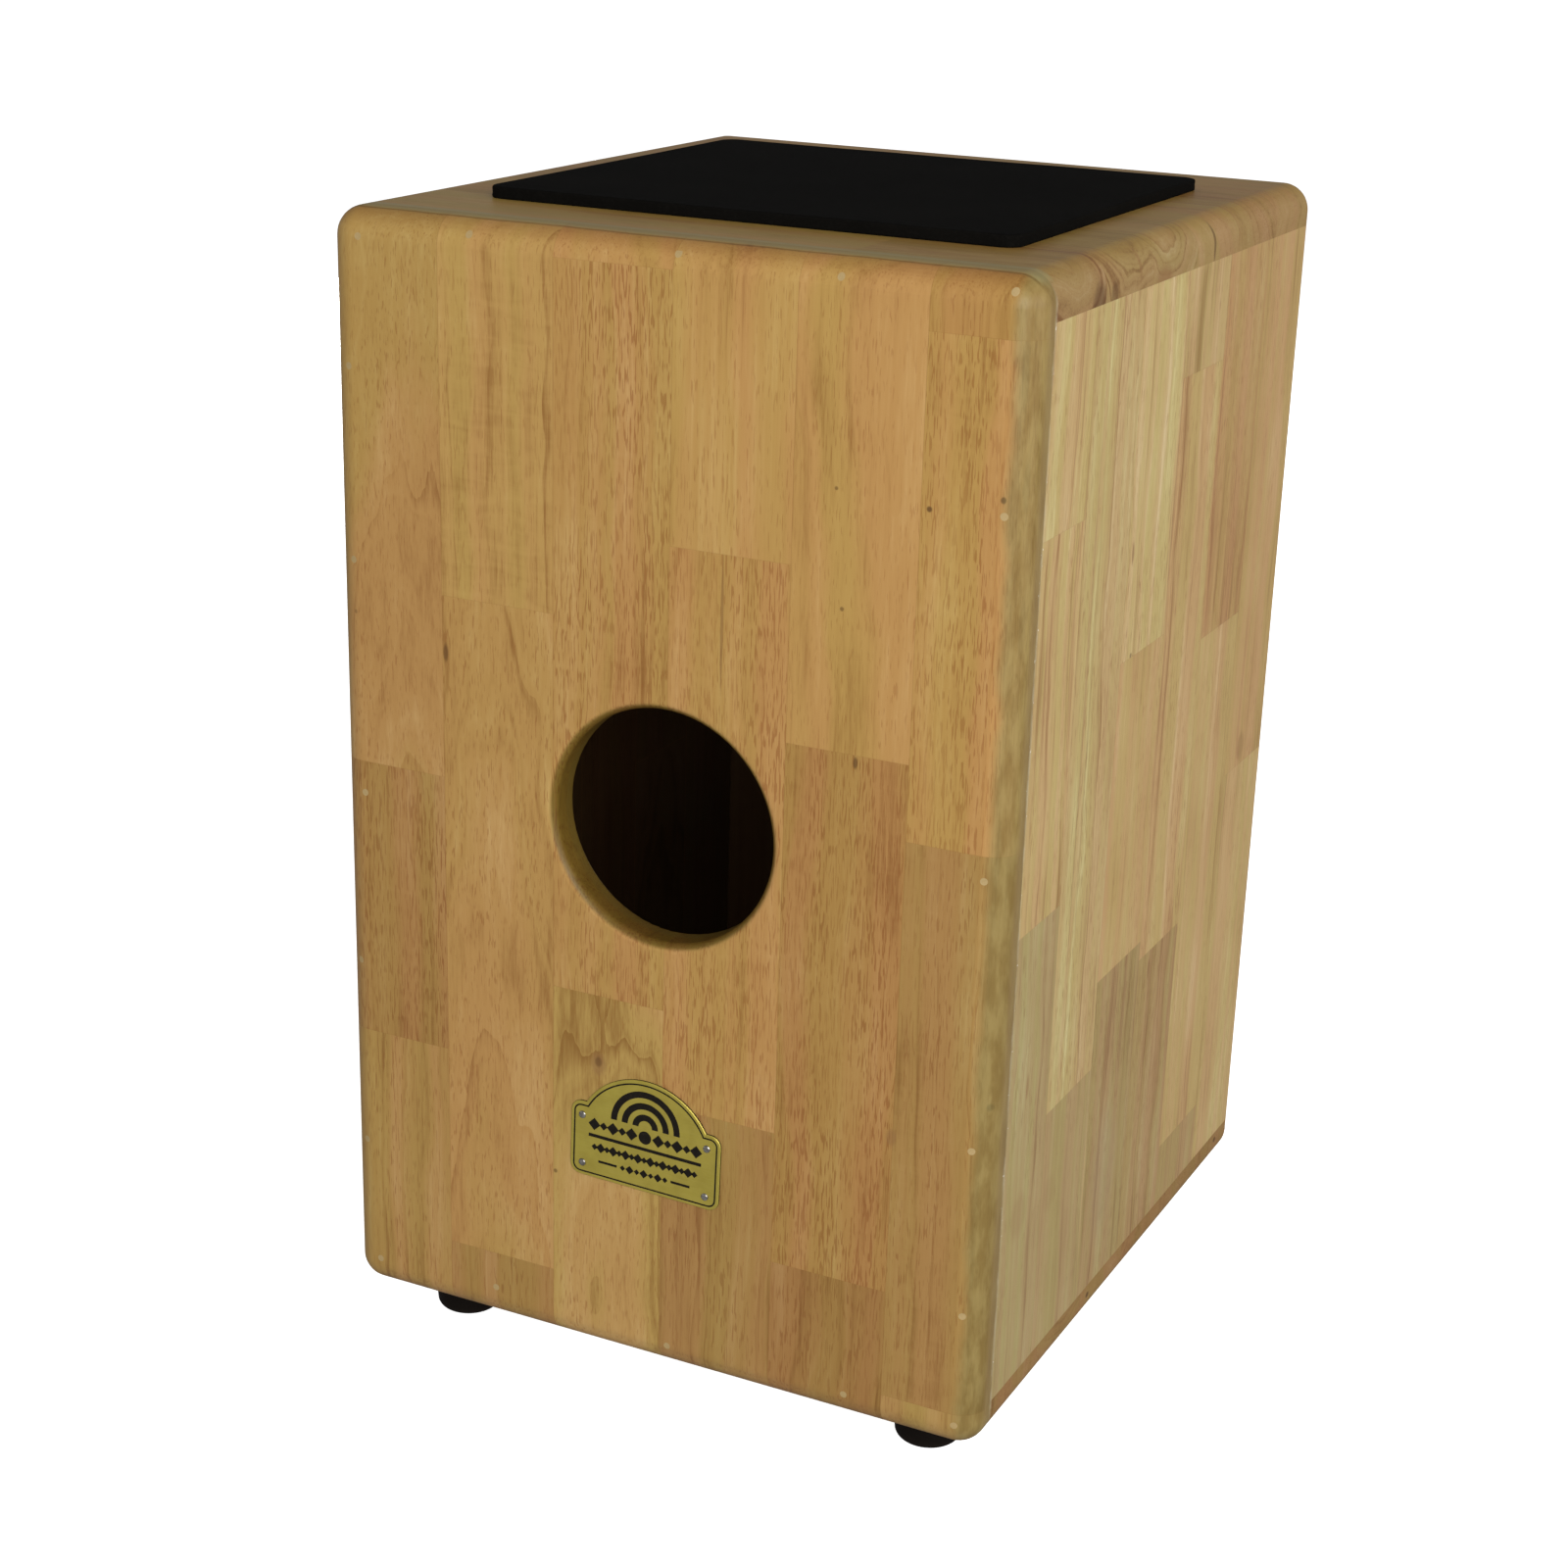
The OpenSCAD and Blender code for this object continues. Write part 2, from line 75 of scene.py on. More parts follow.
class Graph:
    """One material and its nodes. Values may be numbers, tuples or sockets."""

    def __init__(self, name):
        self.mat = bpy.data.materials.new(name)
        self.mat.use_nodes = True
        self.nodes = self.mat.node_tree.nodes
        self.links = self.mat.node_tree.links
        self.shader = self.nodes["Principled BSDF"]

    def plug(self, socket, value):
        if isinstance(value, bpy.types.NodeSocket):
            self.links.new(value, socket)
        elif value is not None:
            socket.default_value = value

    def math(self, operation, *values):
        node = self.nodes.new("ShaderNodeMath")
        node.operation = operation
        for socket, value in zip(node.inputs, values):
            self.plug(socket, value)
        return node.outputs[0]

    def plus(self, a, b):
        return self.math("ADD", a, b)

    def minus(self, a, b):
        return self.math("SUBTRACT", a, b)

    def times(self, a, b):
        return self.math("MULTIPLY", a, b)

    def scale_add(self, value, factor, offset):
        return self.math("MULTIPLY_ADD", value, factor, offset)

    def absolute(self, value):
        return self.math("ABSOLUTE", value)

    def vector(self, operation, *values):
        node = self.nodes.new("ShaderNodeVectorMath")
        node.operation = operation
        for socket, value in zip(node.inputs, values):
            self.plug(socket, value)
        return node.outputs["Value" if operation in ("LENGTH", "DOT_PRODUCT") else "Vector"]

    def split(self, vector):
        node = self.nodes.new("ShaderNodeSeparateXYZ")
        self.plug(node.inputs[0], vector)
        return node.outputs[0], node.outputs[1], node.outputs[2]

    def join(self, x, y, z):
        node = self.nodes.new("ShaderNodeCombineXYZ")
        for socket, value in zip(node.inputs, (x, y, z)):
            self.plug(socket, value)
        return node.outputs[0]

    def attribute(self, name):
        node = self.nodes.new("ShaderNodeAttribute")
        node.attribute_name = name
        return node.outputs["Vector"]

    def place(self):
        """Position on the object at rest, in millimetres."""
        node = self.nodes.new("ShaderNodeTexCoord")
        return self.vector("MULTIPLY", node.outputs["Object"], (1 / MM,) * 3)

    def normal(self):
        return self.nodes.new("ShaderNodeTexCoord").outputs["Normal"]

    def noise(self, vector, scale, detail=2.0, roughness=0.5, distortion=0.0):
        """Noise from 0 to 1. scale is a number, or one per axis, in features per millimetre."""
        node = self.nodes.new("ShaderNodeTexNoise")
        if isinstance(scale, tuple):
            vector = self.vector("MULTIPLY", vector, scale)
            scale = 1.0
        self.plug(node.inputs["Vector"], vector)
        node.inputs["Scale"].default_value = scale
        node.inputs["Detail"].default_value = detail
        node.inputs["Roughness"].default_value = roughness
        node.inputs["Distortion"].default_value = distortion
        return node.outputs[0]

    def along(self, value, detail=1.0):
        """Noise that changes along one number only."""
        node = self.nodes.new("ShaderNodeTexNoise")
        node.noise_dimensions = "1D"
        self.plug(node.inputs["W"], value)
        node.inputs["Scale"].default_value = 1.0
        node.inputs["Detail"].default_value = detail
        return node.outputs[0]

    def cells(self, vector, scale):
        node = self.nodes.new("ShaderNodeTexVoronoi")
        self.plug(node.inputs["Vector"], vector)
        node.inputs["Scale"].default_value = scale
        return node.outputs["Distance"]

    def band(self, value, start, end, low=0.0, high=1.0):
        """Goes smoothly from low to high as value goes from start to end."""
        node = self.nodes.new("ShaderNodeMapRange")
        node.interpolation_type = "SMOOTHSTEP"
        for socket, v in zip(node.inputs, (value, start, end, low, high)):
            self.plug(socket, v)
        return node.outputs[0]

    def mix(self, amount, a, b):
        node = self.nodes.new("ShaderNodeMix")
        node.data_type = "RGBA"
        self.plug(node.inputs[0], amount)
        for socket, value in ((node.inputs[6], a), (node.inputs[7], b)):
            self.plug(socket, (*value, 1.0) if isinstance(value, tuple) else value)
        return node.outputs[2]

    def tint(self, color, amount):
        """color times a number."""
        return self.vector("SCALE", color, None, None, amount)

    def bump(self, height, distance, strength=1.0):
        node = self.nodes.new("ShaderNodeBump")
        node.inputs["Strength"].default_value = strength
        node.inputs["Distance"].default_value = distance * MM
        self.plug(node.inputs["Height"], height)
        self.links.new(node.outputs[0], self.shader.inputs["Normal"])

    def finish(self, color, roughness, **constants):
        self.plug(self.shader.inputs["Base Color"], (*color, 1.0) if isinstance(color, tuple) else color)
        self.plug(self.shader.inputs["Roughness"], roughness)
        for name, value in constants.items():
            self.shader.inputs[name.replace("_", " ")].default_value = value
        return self.mat


# ---------- Wood ----------

PALE = (0.470, 0.305, 0.108)
MIDDLE = (0.378, 0.214, 0.062)
DARK = (0.225, 0.100, 0.024)
VESSEL = (0.240, 0.098, 0.024)
YELLOW = (0.98, 1.02, 0.93)
PINK = (1.03, 0.97, 1.02)
END_GRAIN = (0.84, 0.77, 0.72)
# Colour factor for the faces inside the case: painted shade
INSIDE_SHADE = (0.115, 0.090, 0.085)


def wood(name, end_axis=None, marks=None, extra=None, cast=(1, 1, 1), stripes=1.0, end_tint=END_GRAIN):
    """Lacquered solid wood. Each piece's mesh carries grain (mm from its pith, and along it),
    tone (brightness, warmth, seed) and figure (rings, curl, fleck)."""
    g = Graph(name)
    grain = g.attribute("grain")
    bright, warm, seed = g.split(g.attribute("tone"))
    rings, curl, fleck = g.split(g.attribute("figure"))
    x, y, along = g.split(grain)
    spot = g.join(x, y, g.plus(along, g.times(seed, 700)))

    # Growth rings: one number that grows outwards from the pith, warped a little
    radius = g.vector("LENGTH", g.join(x, y, 0.0))
    warp = g.noise(spot, (0.030, 0.030, 0.010), 2)
    fine_warp = g.noise(spot, (0.3, 0.3, 0.02), 2)
    radius = g.plus(radius, g.times(g.minus(warp, 0.5), 20))
    radius = g.plus(radius, g.times(g.minus(fine_warp, 0.5), 1.2))
    radius = g.plus(radius, g.times(seed, 91))
    broad = g.along(g.times(radius, 0.10), 2)
    narrow = g.along(g.times(radius, 0.5), 2)
    ring = g.plus(g.times(broad, 0.6), g.times(narrow, 0.4))
    ring = g.times(g.minus(ring, 0.5), g.times(rings, 1.9 * stripes))
    year = g.math("FRACT", g.scale_add(radius, 0.13, g.times(broad, 1.2)))
    some_years = g.band(g.along(g.times(radius, 0.07), 0), 0.38, 0.62)
    late = g.times(g.band(year, 0.62, 0.98), some_years)

    # Fibres, vessels, cloudy patches and curl
    fibre = g.noise(spot, (1.1, 1.1, 0.02), 3, 0.6)
    streak = g.noise(spot, (0.35, 0.35, 0.006), 2)
    cloud = g.noise(spot, (0.03, 0.03, 0.012), 2)
    patchy = g.band(g.noise(spot, (0.06, 0.06, 0.010), 2), 0.35, 0.6, 0.45, 1.0)
    dash = g.scale_add(fleck, 0.07, g.noise(spot, (1.45, 1.45, 0.13), 1))
    vessel = g.times(g.band(dash, 0.60, 0.69), patchy)
    ripple = g.noise(spot, (0.035, 0.035, 0.15), 2, 0.6, 0.8)

    value = g.scale_add(g.minus(fibre, 0.5), 0.50, 0.55)
    value = g.plus(value, ring)
    value = g.scale_add(g.minus(streak, 0.5), 0.45 * stripes, value)
    value = g.scale_add(g.minus(cloud, 0.5), 0.9, value)
    value = g.plus(value, g.times(g.minus(ripple, 0.5), g.times(curl, 2.2)))
    value = g.minus(value, g.times(late, g.times(rings, 0.55)))
    color = g.mix(g.band(value, 0.0, 0.55), DARK, MIDDLE)
    color = g.mix(g.band(value, 0.5, 1.15), color, PALE)
    strength = g.plus(g.scale_add(rings, 0.20, 0.36), g.times(fleck, 0.24))
    color = g.mix(g.times(vessel, strength), color, VESSEL)

    # Yellow and pink zones follow the broad rings
    zone = g.along(g.times(radius, 0.05 * stripes), 1)
    color = g.vector("MULTIPLY", color, g.mix(g.band(zone, 0.36, 0.64), YELLOW, PINK))

    # Each piece's own tone: warm pieces are pinker, cool ones more olive
    hue = g.join(g.scale_add(warm, 0.06, 1.0), g.scale_add(warm, -0.06, 1.0),
                 g.scale_add(warm, -0.10, 1.0))
    color = g.vector("MULTIPLY", color, hue)
    color = g.tint(g.vector("MULTIPLY", color, cast), bright)

    roughness = g.scale_add(fibre, 0.14, 0.34)
    height = g.minus(g.times(fibre, 0.35), vessel)
    place = g.place()
    if end_axis is not None:
        facing = g.absolute(g.vector("DOT_PRODUCT", g.normal(), end_axis))
        ends = g.band(facing, 0.35, 0.95)
        color = g.mix(ends, color, g.vector("MULTIPLY", color, end_tint))
        roughness = g.scale_add(ends, 0.12, roughness)
    for mark in marks or ():
        color = paint_mark(g, place, color, *mark)
    if extra:
        color, height = extra(g, place, color, height)

    # The faces inside the case are darkened: painted shade
    color = shade_inside(g, place, color)

    # A thin dark line where two pieces are glued edge to edge
    low, high, end = g.split(g.attribute("edge"))
    gap = g.math("MINIMUM", g.math("MINIMUM", low, high), end)
    seam = g.band(gap, 0.0, 0.3, 0.32, 0.0)
    color = g.mix(seam, color, DARK)
    height = g.minus(height, seam)
    g.bump(height, 0.05, 0.6)
    return g.finish(color, roughness, Specular_IOR_Level=0.22)


def shade_inside(g, place, color):
    """The inside of the box is darkened nearly to black: painted shade on its inner faces."""
    x, y, z = g.split(place)
    depth = g.minus(INNER_X, g.absolute(x))
    depth = g.math("MINIMUM", depth, g.minus(Y_JOINT, y))
    depth = g.math("MINIMUM", depth, g.minus(y, TAPA_HIGH[1]))
    depth = g.math("MINIMUM", depth, g.minus(z, FLOOR_Z))
    depth = g.math("MINIMUM", depth, g.minus(CEILING_Z, z))
    inside = g.band(depth, -0.12, -0.04)
    return g.mix(inside, color, g.vector("MULTIPLY", color, INSIDE_SHADE))


def paint_mark(g, place, color, centre, radii, tint, strength):
    """A soft-edged elliptical mark: a knot, a filled nail hole's halo or a darker patch."""
    offset = g.vector("MULTIPLY", g.vector("SUBTRACT", place, centre), tuple(1 / r for r in radii))
    inside = g.band(g.vector("LENGTH", offset), 0.45, 1.0, strength, 0.0)
    return g.mix(inside, color, tint)


class Piece:
    """One stick of wood in a panel."""

    def __init__(self, low, high, bright, warm, kind, seed):
        self.low, self.high = low, high
        self.bright, self.warm, self.seed = bright, warm, seed
        self.kind = kind


# kind: pith across the piece, pith below the face, drift of the pith per mm, rings, curl, fleck
KINDS = {
    "plain": (85, 30, 0.010, 0.26, 0.0, 0.2),
    "arched": (3, 34, 0.075, 0.50, 0.0, 0.3),
    "steep": (-10, 22, 0.110, 0.50, 0.0, 0.2),
    "lined": (70, 8, 0.004, 0.42, 0.0, 0.5),
    "banded": (45, 16, 0.012, 0.42, 0.1, 0.4),
    "curly": (38, 20, 0.030, 0.34, 0.16, 0.1),
    "flecked": (75, 14, 0.006, 0.28, 0.1, 1.0),
    "smooth": (90, 40, 0.008, 0.18, 0.0, 0.2),
    "heart": (7, 12, 0.012, 0.75, 0.0, 0.1),
    "wavy": (26, 50, 0.050, 0.24, 0.0, 0.1),
}


def panel_pieces(columns, start, pitch, seed):
    """[(low edge, high edge, [Piece, ...]), ...] from rows of (end, bright, warm, kind)."""
    result = []
    for c, rows in enumerate(columns):
        low, pieces = 0.0, []
        for r, (high, bright, warm, kind) in enumerate(rows):
            pieces.append(Piece(low, high, bright, warm, kind, (seed + 7 * c + 3 * r) % 29))
            low = high
        result.append((start + c * pitch, start + (c + 1) * pitch, pieces))
    return result


def new_object(name, bm, material=None, smooth_angle=None):
    """Turns a bmesh in metres into an object."""
    mesh = bpy.data.meshes.new(name)
    bm.normal_update()
    if smooth_angle is not None:
        for f in bm.faces:
            f.smooth = True
        for e in bm.edges:
            sharp = len(e.link_faces) != 2 or e.calc_face_angle(0.0) > math.radians(smooth_angle)
            e.smooth = not sharp
    bm.to_mesh(mesh)
    bm.free()
    obj = bpy.data.objects.new(name, mesh)
    bpy.context.scene.collection.objects.link(obj)
    if material:
        obj.data.materials.append(material)
    if smooth_angle is not None:
        weighted = obj.modifiers.new("face weighted normals", "WEIGHTED_NORMAL")
        weighted.keep_sharp = True
    return obj


def cut(bm, faces, axis, value):
    """Cuts faces by a plane across an axis, at value mm."""
    edges = {e for f in faces for e in f.edges}
    verts = {v for f in faces for v in f.verts}
    normal = Vector([1.0 if i == axis else 0.0 for i in range(3)])
    bmesh.ops.bisect_plane(bm, geom=list(faces) + list(edges) + list(verts), dist=1e-7,
                           plane_co=normal * value * MM, plane_no=normal)


def staved(node, name, columns, across, along, sign, origin, material):
    """A copy of a CAD panel, divided into its glued pieces, with their grain as attributes.
    across and along are axes; sign and origin turn an across place into the columns' own count."""
    bm = bmesh.new()
    bm.from_mesh(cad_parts[node].data)
    bmesh.ops.remove_doubles(bm, verts=bm.verts[:], dist=1e-6)
    depth = 3 - across - along

    def column_of(face):
        place = (face.calc_center_median()[across] / MM) * sign + origin[0]
        for i, (low, high, _) in enumerate(columns):
            if place < high or i == len(columns) - 1:
                return i

    for low, _, _ in columns[1:]:
        cut(bm, bm.faces[:], across, (low - origin[0]) * sign)
    for i, (_, _, pieces) in enumerate(columns):
        for piece in pieces[1:]:
            faces = [f for f in bm.faces if column_of(f) == i]
            cut(bm, faces, along, piece.low + origin[1])

    grain = bm.loops.layers.float_vector.new("grain")
    tone = bm.loops.layers.float_vector.new("tone")
    figure = bm.loops.layers.float_vector.new("figure")
    edge = bm.loops.layers.float_vector.new("edge")
    face_level = columns_face_level(bm, depth)
    for f in bm.faces:
        i = column_of(f)
        low, high, pieces = columns[i]
        centre = f.calc_center_median()[along] / MM - origin[1]
        piece = next((p for p in pieces if centre < p.high), pieces[-1])
        pith_across, pith_depth, drift, rings, curl, fleck = KINDS[piece.kind]
        flip = 1 if piece.seed % 2 else -1
        for loop in f.loops:
            place = loop.vert.co / MM
            a = place[across] * sign + origin[0]
            t = place[along] - origin[1]
            from_pith = a - (low + high) / 2 + flip * pith_across
            below = abs(place[depth] - face_level) + pith_depth + flip * drift * (t - piece.low)
            loop[grain] = (from_pith, below, t)
            loop[tone] = (piece.bright, piece.warm, piece.seed)
            loop[figure] = (rings, curl, fleck)
            first, last = i == 0, i == len(columns) - 1
            loop[edge] = (9 if first else a - low, 9 if last else high - a,
                          9 if piece is pieces[0] else t - piece.low)
    obj = new_object(name, bm, material, smooth_angle=32)
    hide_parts(node)
    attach(obj, "case")
    return obj


def columns_face_level(bm, depth):
    """The panel's outer face, along the axis across its thickness."""
    places = [v.co[depth] / MM for v in bm.verts]
    return max(places, key=abs)


# Pieces of the rear panel, from image left (+X) to right: end height, brightness, warmth, kind
REAR_ROWS = [
    [(126, 0.96, 0.0, "lined"), (250, 0.86, 0.4, "flecked"), (480, 1.00, 0.0, "steep")],
    [(33, 0.84, 0.4, "lined"), (328, 1.05, 0.0, "arched"), (480, 1.12, -0.3, "curly")],
    [(167, 1.12, -0.5, "arched"), (469, 1.02, 0.2, "flecked"), (480, 1.05, 0.2, "smooth")],
    [(124, 0.85, 0.1, "lined"), (363, 1.03, 0.2, "flecked"), (480, 1.08, 0.0, "smooth")],
    [(65, 0.76, 0.6, "lined"), (292, 0.89, 0.5, "flecked"), (480, 1.08, 0.0, "wavy")],
    [(17, 1.00, -0.5, "smooth"), (261, 0.86, 0.0, "banded"), (457, 1.04, 0.2, "flecked"),
     (480, 0.96, 0.5, "plain")],
]
# Pieces of the right side, from the rear edge forwards
RIGHT_ROWS = [
    [(223, 0.80, -0.6, "plain"), (381, 1.02, -0.2, "lined"), (480, 1.02, -0.3, "lined")],
    [(130, 0.80, -0.4, "plain"), (480, 0.99, -0.4, "lined")],
    [(170, 0.76, 0.0, "lined"), (310, 0.94, 0.4, "plain"), (480, 1.07, -0.5, "lined")],
    [(161, 0.76, 0.4, "lined"), (418, 0.98, 0.2, "lined"), (480, 0.98, -0.2, "plain")],
    [(48, 0.80, 0.2, "plain"), (295, 0.98, 0.2, "plain"), (480, 0.86, 0.9, "lined")],
    [(216, 1.02, 0.0, "plain"), (480, 0.93, 0.6, "plain")],
]
RIGHT_EDGES = [12, 60, 112, 165, 216, 269, 330]
# The left side isn't in view: the same stock in another order
LEFT_ROWS = [
    [(140, 1.00, 0.3, "plain"), (480, 0.97, 0.5, "flecked")],
    [(255, 1.03, 0.0, "smooth"), (480, 0.98, 0.2, "lined")],
    [(95, 0.96, 0.5, "lined"), (340, 1.02, 0.2, "arched"), (480, 0.96, 0.4, "plain")],
    [(300, 0.98, 0.7, "lined"), (480, 1.03, 0.0, "smooth")],
    [(185, 1.02, 0.0, "steep"), (480, 1.00, 0.2, "banded")],
    [(60, 0.94, 0.7, "lined"), (390, 1.00, 0.2, "plain"), (480, 1.03, 0.2, "curly")],
]
# Top and bottom panels: the pieces run from side to side, counted from the rear
TOP_ROWS = [
    [(82, 0.90, 0.2, "heart"), (305, 1.04, -0.2, "smooth")],
    [(190, 0.96, 0.1, "heart"), (305, 1.02, 0.2, "plain")],
    [(120, 0.98, 0.0, "heart"), (305, 0.96, 0.4, "plain")],
    [(230, 1.02, 0.1, "plain"), (305, 0.95, 0.5, "lined")],
    [(70, 0.96, 0.4, "lined"), (305, 1.00, 0.3, "smooth")],
    [(165, 1.00, 0.3, "plain"), (305, 0.97, 0.5, "arched")],
]
BOTTOM_ROWS = [
    [(150, 0.94, 0.7, "lined"), (305, 0.97, 0.4, "plain")],
    [(60, 0.98, 0.3, "arched"), (305, 0.94, 0.8, "plain")],
    [(210, 0.97, 0.5, "smooth"), (305, 0.95, 0.6, "lined")],
    [(115, 0.95, 0.7, "plain"), (305, 0.98, 0.5, "banded")],
    [(245, 0.98, 0.4, "flecked"), (305, 0.94, 0.7, "plain")],
    [(95, 0.96, 0.6, "lined"), (305, 0.97, 0.5, "smooth")],
]
STAVE = 52.5


def from_edges(columns, edges):
    """Gives columns their real edges where they aren't evenly spaced."""
    return [(edges[i], edges[i + 1], c[2]) for i, c in enumerate(columns)]


# ---------- Marks on the wood ----------

KNOT = (0.085, 0.035, 0.012)
BROWN = (0.250, 0.125, 0.045)
STREAK = (0.180, 0.085, 0.028)
PALE_MARK = (0.560, 0.400, 0.190)


def rear_mark(u, z, rx, rz, tint, strength):
    """A mark on the rear face: u from its left edge as seen, z above the case's bottom."""
    return ((HALF_W - u, Y_REAR, Z_LOW + z), (rx, 20, rz), tint, strength)


def right_mark(w, z, ry, rz, tint, strength):
    """A mark on the right side: w from the rear, z above the case's bottom."""
    return ((-HALF_W, Y_REAR - w, Z_LOW + z), (20, ry, rz), tint, strength)


REAR_MARKS = [rear_mark(*mark) for mark in (
    (266, 392, 1.5, 1.5, KNOT, 0.8),
    (295, 399, 1.4, 1.7, KNOT, 0.8),
    (228, 395, 1.0, 1.0, KNOT, 0.6),
    (232, 349, 1.2, 1.2, KNOT, 0.6),
    (10, 315, 1.0, 1.2, KNOT, 0.4),
    (106, 81, 1.3, 1.3, KNOT, 0.6),
    (302, 156, 1.6, 2.2, KNOT, 0.9),
    (240, 289, 1.3, 3.2, KNOT, 0.7),
    (127, 136, 5.0, 7.0, BROWN, 0.55),
    (127, 137, 2.2, 3.0, KNOT, 0.5),
    (262, 135, 3.0, 5.0, BROWN, 0.55),
    (54, 304, 1.6, 5.0, KNOT, 0.6),
    (181, 335, 0.9, 34.0, STREAK, 0.5),
    (300, 445, 1.6, 16.0, STREAK, 0.5),
    (302, 405, 1.3, 14.0, STREAK, 0.45),
    (303, 350, 1.2, 16.0, STREAK, 0.35),
    (300, 262, 1.2, 18.0, STREAK, 0.3),
)]
RIGHT_MARKS = [right_mark(*mark) for mark in (
    (118, 355, 1.6, 6.0, BROWN, 0.7),
    (36, 153, 2.0, 7.0, BROWN, 0.45),
    (179, 152, 1.6, 6.0, BROWN, 0.6),
    (124, 311, 1.4, 1.4, KNOT, 0.6),
    (35, 95, 11.0, 13.0, BROWN, 0.22),
    (70, 90, 9.0, 11.0, BROWN, 0.18),
    (290, 225, 7.0, 9.0, BROWN, 0.4),
    (137, 70, 20.0, 40.0, (0.36, 0.27, 0.15), 0.3),
    (73, 295, 1.4, 160.0, BROWN, 0.3),
    (79, 300, 1.2, 130.0, BROWN, 0.25),
    (112, 72, 1.2, 52.0, PALE_MARK, 0.5),
)]


def end_mark(w, z, ry, rz, tint, strength):
    """A mark on the right-hand end of the top panel."""
    return ((-HALF_W, Y_REAR - w, Z_LOW + z), (30, ry, rz), tint, strength)


TOP_MARKS = [end_mark(*mark) for mark in (
    (60, 462, 9.0, 12.0, KNOT, 0.6),
    (76, 464, 5.0, 7.0, KNOT, 0.45),
    (132, 462, 13.0, 8.0, BROWN, 0.6),
    (193, 470, 1.8, 11.0, KNOT, 0.6),
    (104, 472, 2.0, 9.0, BROWN, 0.5),
)]
BOTTOM_MARKS = [end_mark(*mark) for mark in (
    (128, 13, 2.5, 1.8, KNOT, 0.8),
    (305, 14, 2.5, 1.8, KNOT, 0.8),
)]


def rear_extra(g, place, color, height):
    """What shows at the rear panel's edges: painted sheen on the rounded right edge, a dark line and a pale
    band along the top edge, painted shade in the bored hole and a pale line at the joint.
    """
    x, y, z = g.split(place)
    # An olive, blotchy band along the rounded right edge: painted sheen of the lacquer on the roundover
    wander = g.noise(place, (0.02, 0.0, 0.02), 3)
    from_edge = g.plus(g.minus(x, -HALF_W), g.scale_add(wander, -9, 4.5))
    edge_sheen = g.band(from_edge, 5.5, 11.0, 0.75, 0.0)
    blotch = g.band(g.noise(place, (0.16, 0.16, 0.05), 3, 0.6), 0.35, 0.65)
    color = g.mix(edge_sheen, color, g.mix(blotch, (0.150, 0.108, 0.030), (0.240, 0.190, 0.066)))
    joint = g.minus(y, Y_JOINT)
    side_only = g.band(z, Z_HIGH - 14, Z_HIGH - 8, 1.0, 0.0)
    pink = g.times(g.band(joint, 5.0, 8.0, 0.4, 0.0), side_only)
    color = g.mix(pink, color, (0.29, 0.19, 0.078))
    color = top_edge(g, place, color)
    # Darker and more olive inside the bored hole: painted shade on its wall
    from_axis = g.vector("LENGTH", g.vector("MULTIPLY", g.vector("SUBTRACT", place, HOLE_CENTRE), (1, 0, 1)))
    bore_shade = g.band(from_axis, HOLE_R + 1.2, HOLE_R + 3.2, 1.0, 0.0)
    color = g.vector("MULTIPLY", color, g.mix(bore_shade, (1.0, 1.0, 1.0), (0.40, 0.42, 0.23)))
    return pale_joint_line(g, place, joint, color, height)


def top_edge(g, place, color):
    """A dark line and a pale band beyond it along the top of the rear panel."""
    _, y, z = g.split(place)
    on_top = g.band(z, Z_HIGH - 5.5, Z_HIGH - 1.5)
    wobble = g.noise(place, (0.03, 0.0, 0.0), 2)
    inward = g.minus(g.minus(Y_REAR, y), g.times(wobble, 2.0))
    line = g.band(g.absolute(g.minus(inward, 7.6)), 0.2, 0.9, 0.5, 0.0)
    pale = g.times(g.band(inward, 7.8, 9.0), g.band(inward, 17.5, 20.5, 0.65, 0.0))
    color = g.mix(g.times(pale, on_top), color, (0.300, 0.258, 0.112))
    return g.mix(g.times(line, on_top), color, (0.10, 0.065, 0.02))


def pale_joint_line(g, place, joint, color, height):
    """A pale line with small bright specks where the rear panel meets the box."""
    _, _, z = g.split(place)
    upright = g.band(z, Z_HIGH - 9, Z_HIGH - 3, 1.0, 0.0)
    upright = g.times(upright, g.band(z, Z_LOW + 3, Z_LOW + 9))
    wobble = g.noise(place, (0.05, 0.05, 0.05), 2)
    away = g.absolute(g.scale_add(g.minus(wobble, 0.5), 1.6, joint))
    patchy = g.band(g.noise(place, 0.08, 3, 0.7), 0.35, 0.65, 0.05, 0.45)
    line = g.times(g.band(away, 0.5, 1.5, 1.0, 0.0), g.times(patchy, upright))
    color = g.mix(line, color, (0.50, 0.43, 0.29))
    specks = g.band(g.noise(place, 0.55, 1), 0.7, 0.76)
    specks = g.times(specks, g.times(upright, g.band(away, 0.6, 1.6, 1.0, 0.0)))
    color = g.mix(specks, color, (0.85, 0.83, 0.75))
    return color, g.plus(height, line)


def side_extra(g, place, color, height):
    _, y, _ = g.split(place)
    color = top_edge(g, place, color)
    return pale_joint_line(g, place, g.minus(y, Y_JOINT), color, height)


# ---------- Panels ----------

# The sides' stock is set paler and bluer than the rear panel's, in place of the floor's sheen on them
SIDE_CAST = (1.34, 1.64, 2.40)

wood_rear = wood("rear wood", (0, 0, 1), REAR_MARKS, rear_extra, (1.07, 1.10, 1.16))
wood_right = wood("right side wood", (0, 0, 1), RIGHT_MARKS, side_extra, SIDE_CAST, 1.4)
wood_left = wood("left side wood", (0, 0, 1), None, side_extra, SIDE_CAST, 1.4)
